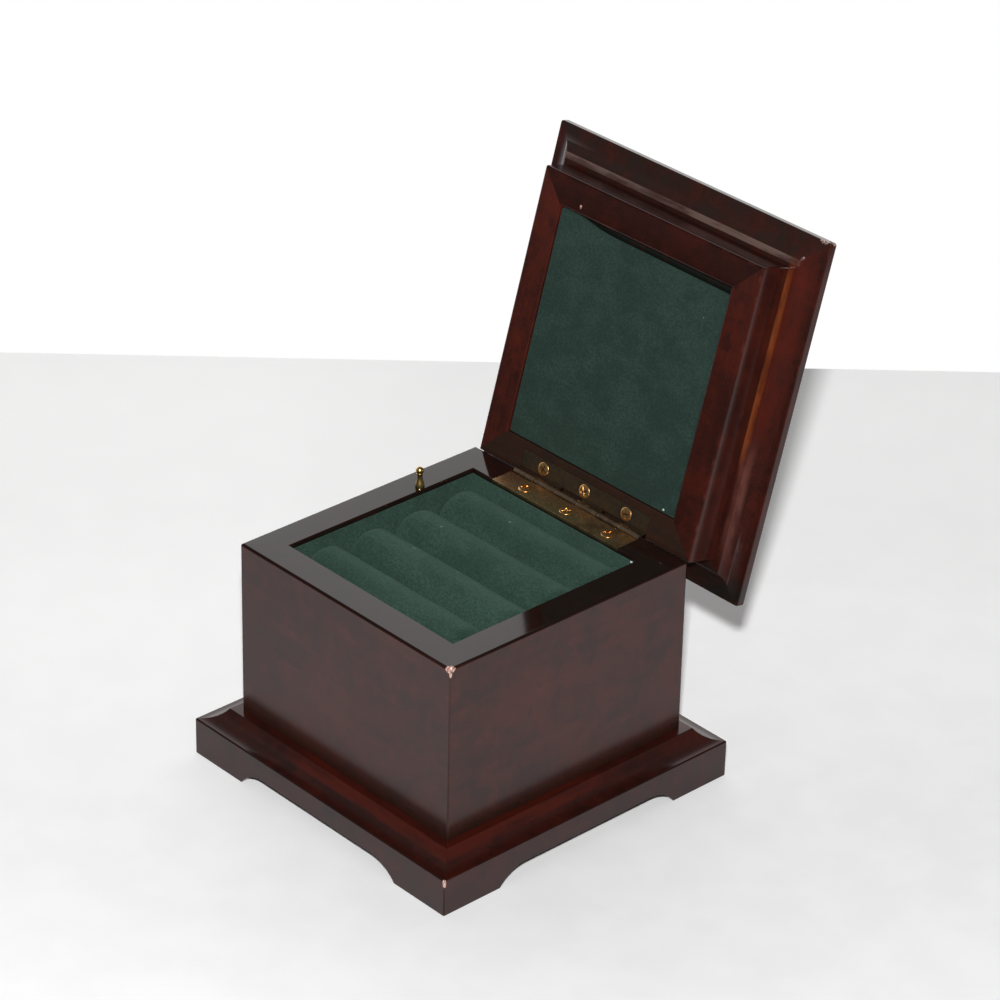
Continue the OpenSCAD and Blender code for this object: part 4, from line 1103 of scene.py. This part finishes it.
def pin_profile():
    """Radius against height above the rim: the sliding rod, a flared foot, a waist, a ball."""
    ball_r, waist_r = 1.15 * MM, 0.78 * MM
    foot_z, flare_h, neck_z = 0.25 * MM, 2.8 * MM, 4.35 * MM
    points = [(PIN_R * 0.9, -PIN_ROD), (PIN_R, 0.2 * MM - PIN_ROD), (PIN_R, foot_z)]
    for s in spread(0, 1, 12)[1:]:
        ease = s * s * (3 - 2 * s)
        points.append((PIN_R + (waist_r - PIN_R) * ease, foot_z + s * flare_h))
    points += [(waist_r, 3.9 * MM), (0.84 * MM, 4.15 * MM), (1.0 * MM, 4.3 * MM)]
    for a in (math.radians(x) for x in range(-66, 90, 12)):
        z = PIN_UP - ball_r + ball_r * math.sin(a)
        if z > neck_z:
            points.append((ball_r * math.cos(a), z))
    points.append((0.03 * MM, PIN_UP))
    return points


made = smooth(turned("stop_pin_turned", pin_profile()), 50, False)
at = CASE @ Matrix.Translation((PIN_X, PIN_Y, RIM))
place(made, at, "stop_pin", brass, "stop_pin", "aged_brass")


def coil(name, radius, wire, length, turns):
    """A helical spring that stands on z = 0."""
    steps, sides = 24, 10
    rings = turns * steps
    verts = []
    for i in range(rings + 1):
        a = 2 * math.pi * i / steps
        for k in range(sides):
            b = 2 * math.pi * k / sides
            r = radius + wire * math.cos(b)
            z = wire + (length - 2 * wire) * i / rings + wire * math.sin(b)
            verts.append((r * math.cos(a), r * math.sin(a), z))
    return smooth(tube(name, verts, sides), 60, False)


PLAY = 0.02 * MM                          # at both ends of the spring
SPRING_FOOT = PIN_HOLE_FOOT + PLAY
spring_l = RIM - PIN_ROD - PLAY - SPRING_FOOT
spring_at = CASE @ Matrix.Translation((PIN_X, PIN_Y, SPRING_FOOT))
made = coil("stop_pin_coil", 1.02 * MM, 0.22 * MM, spring_l, 7)
place(made, spring_at, "case", steel, "stop_pin_spring", "steel")
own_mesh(made)

# ---- camera ----

VIEW_FROM = Vector((0.70887, -0.64319 + CASE_Y, 0.62368))
VIEW_AZIMUTH, VIEW_ELEVATION, VIEW_ROLL = (math.radians(a) for a in (47.206, 29.375, 1.256))
FOCAL_PX, PHOTO_PX = 4071.66, 1000        # focal length and width of the photograph

camera = linked("camera", bpy.data.cameras.new("camera"))
camera.data.sensor_width = 36
camera.data.lens = FOCAL_PX / PHOTO_PX * camera.data.sensor_width
camera.matrix_world = (
    Matrix.Translation(VIEW_FROM)
    @ Matrix.Rotation(VIEW_AZIMUTH, 4, "Z")
    @ Matrix.Rotation(math.pi / 2 - VIEW_ELEVATION, 4, "X")
    @ Matrix.Rotation(VIEW_ROLL, 4, "Z")
)
camera.data.clip_start = 0.01
bpy.context.scene.camera = camera

# ---- floor, light and surroundings ----

WALL_FROM_CASE = 0.244                    # from the middle of the case to the table's back edge
WALL_DIRECTION = math.radians(47.45)      # direction of that edge, seen from above
TABLE = 3.0                               # reach of the table in its other directions
SHEET_LEFT, SHEET_RIGHT, SHEET_AHEAD = 0.235, 0.4, 0.4    # reach of the white sheet, as reflected
SHEET_SOFT_SIDE, SHEET_SOFT_AHEAD = 0.03, 0.05
# painted light: for camera rays the table is painted paler towards its back and its left
BACK_PALER = (-0.04, 0.11, 0.03, 0.23), (0.1, 0.25, 0.0, 0.17)
LEFT_PALER, PALEST = (-0.08, 0.02, 0.11, 0.0), 1.6
ROOM, BACKDROP = 0.12, 1.3                # brightness towards the room and the white wall
WALL_WIDE, WALL_HIGH = (0.15, 0.6), (0.56, 0.72)    # where that wall fades, seen from the case
FLASH_POWER, FLASH_SIZE = 15.6, 0.038
FLASH_LEFT, FLASH_UP = 0.008, 0.1         # from the camera
FLASH_AIM = 0.06                          # height above the middle of the case's foot

away = Vector((-math.sin(WALL_DIRECTION), math.cos(WALL_DIRECTION), 0))
edge = Vector((math.cos(WALL_DIRECTION), math.sin(WALL_DIRECTION), 0))
middle = Vector((0, CASE_Y, 0))
corners = [
    middle + away * a + edge * e
    for a, reach in ((-TABLE, TABLE), (WALL_FROM_CASE, -TABLE))
    for e in (-reach, reach)
]
table = mesh_object("table", corners, [(0, 1, 2, 3)])
table_finish = bpy.data.materials.new("table")
t = Tree(table_finish)
grain = t.noise(t.add("TexCoord", output=3), 60, 3)
white = t.mix(t.ramp(grain, 0.3, 0.7), rgb(0.8, 0.8, 0.805), rgb(0.83, 0.83, 0.835))
ground = t.add("NewGeometry")
from_case = t.add("VectorMath", {0: ground, 1: tuple(middle)}, operation="SUBTRACT")
sideways = t.add("VectorMath", {0: from_case, 1: tuple(edge)}, 1, operation="DOT_PRODUCT")
back = t.add("VectorMath", {0: from_case, 1: tuple(away)}, 1, operation="DOT_PRODUCT")
off_sheet = t.math("SUBTRACT", sideways, (SHEET_RIGHT - SHEET_LEFT) / 2)
reach = (SHEET_RIGHT + SHEET_LEFT) / 2
outside = t.ramp(t.math("ABSOLUTE", off_sheet), reach, reach + SHEET_SOFT_SIDE)
ahead = t.ramp(back, -SHEET_AHEAD - SHEET_SOFT_AHEAD, -SHEET_AHEAD, 1.0, 0.0)
outside = t.math("MAXIMUM", outside, ahead)
gloss = t.add("LightPath").node.outputs["Is Glossy Ray"]
white = t.mix(t.times(outside, gloss), white, rgb(0.06, 0.055, 0.05))
# painted light on the table, seen only by the camera
paler = t.math("ADD", *(t.ramp(back, *ends) for ends in BACK_PALER))
paler = t.math("ADD", paler, t.ramp(sideways, *LEFT_PALER))
seen = t.add("LightPath").node.outputs["Is Camera Ray"]
white = t.mix(t.times(paler, seen), white, rgb(PALEST, PALEST, PALEST))
t.surface(Base_Color=white, Roughness=0.8, Specular_IOR_Level=0.1)
table.data.materials.append(table_finish)

world = bpy.data.worlds.new("room")
bpy.context.scene.world = world
t = Tree(world)
direction = t.add("TexCoord", output=0)
towards_wall = t.add("VectorMath", {0: direction, 1: tuple(away)}, 1, operation="DOT_PRODUCT")
height = t.add("SeparateXYZ", {0: direction}, 2)
low_enough = t.ramp(height, *WALL_HIGH, 1.0, 0.0)
on_wall = t.times(t.ramp(towards_wall, *WALL_WIDE), low_enough)
brightness = t.add("MapRange", {0: on_wall, 3: ROOM, 4: BACKDROP})
camera_ray = t.add("LightPath").node.outputs["Is Camera Ray"]
shader = t.add(
    "MixShader",
    {
        0: camera_ray,
        1: t.add("Background", {"Color": rgb(1, 0.99, 0.98), "Strength": brightness}),
        2: t.add("Background", {"Color": rgb(1, 1, 1), "Strength": 1.0}),
    },
)
t.add("OutputWorld", {"Surface": shader})

flash = linked("flash", bpy.data.lights.new("flash", "AREA"))
flash.data.energy = FLASH_POWER
flash.data.size = FLASH_SIZE
to_right = Vector((math.cos(VIEW_AZIMUTH), math.sin(VIEW_AZIMUTH), 0))
flash.location = VIEW_FROM - FLASH_LEFT * to_right + Vector((0, 0, FLASH_UP))
to_case = middle + Vector((0, 0, FLASH_AIM)) - flash.location
flash.rotation_euler = to_case.to_track_quat("-Z", "Y").to_euler()

bpy.context.scene.view_settings.view_transform = "Standard"
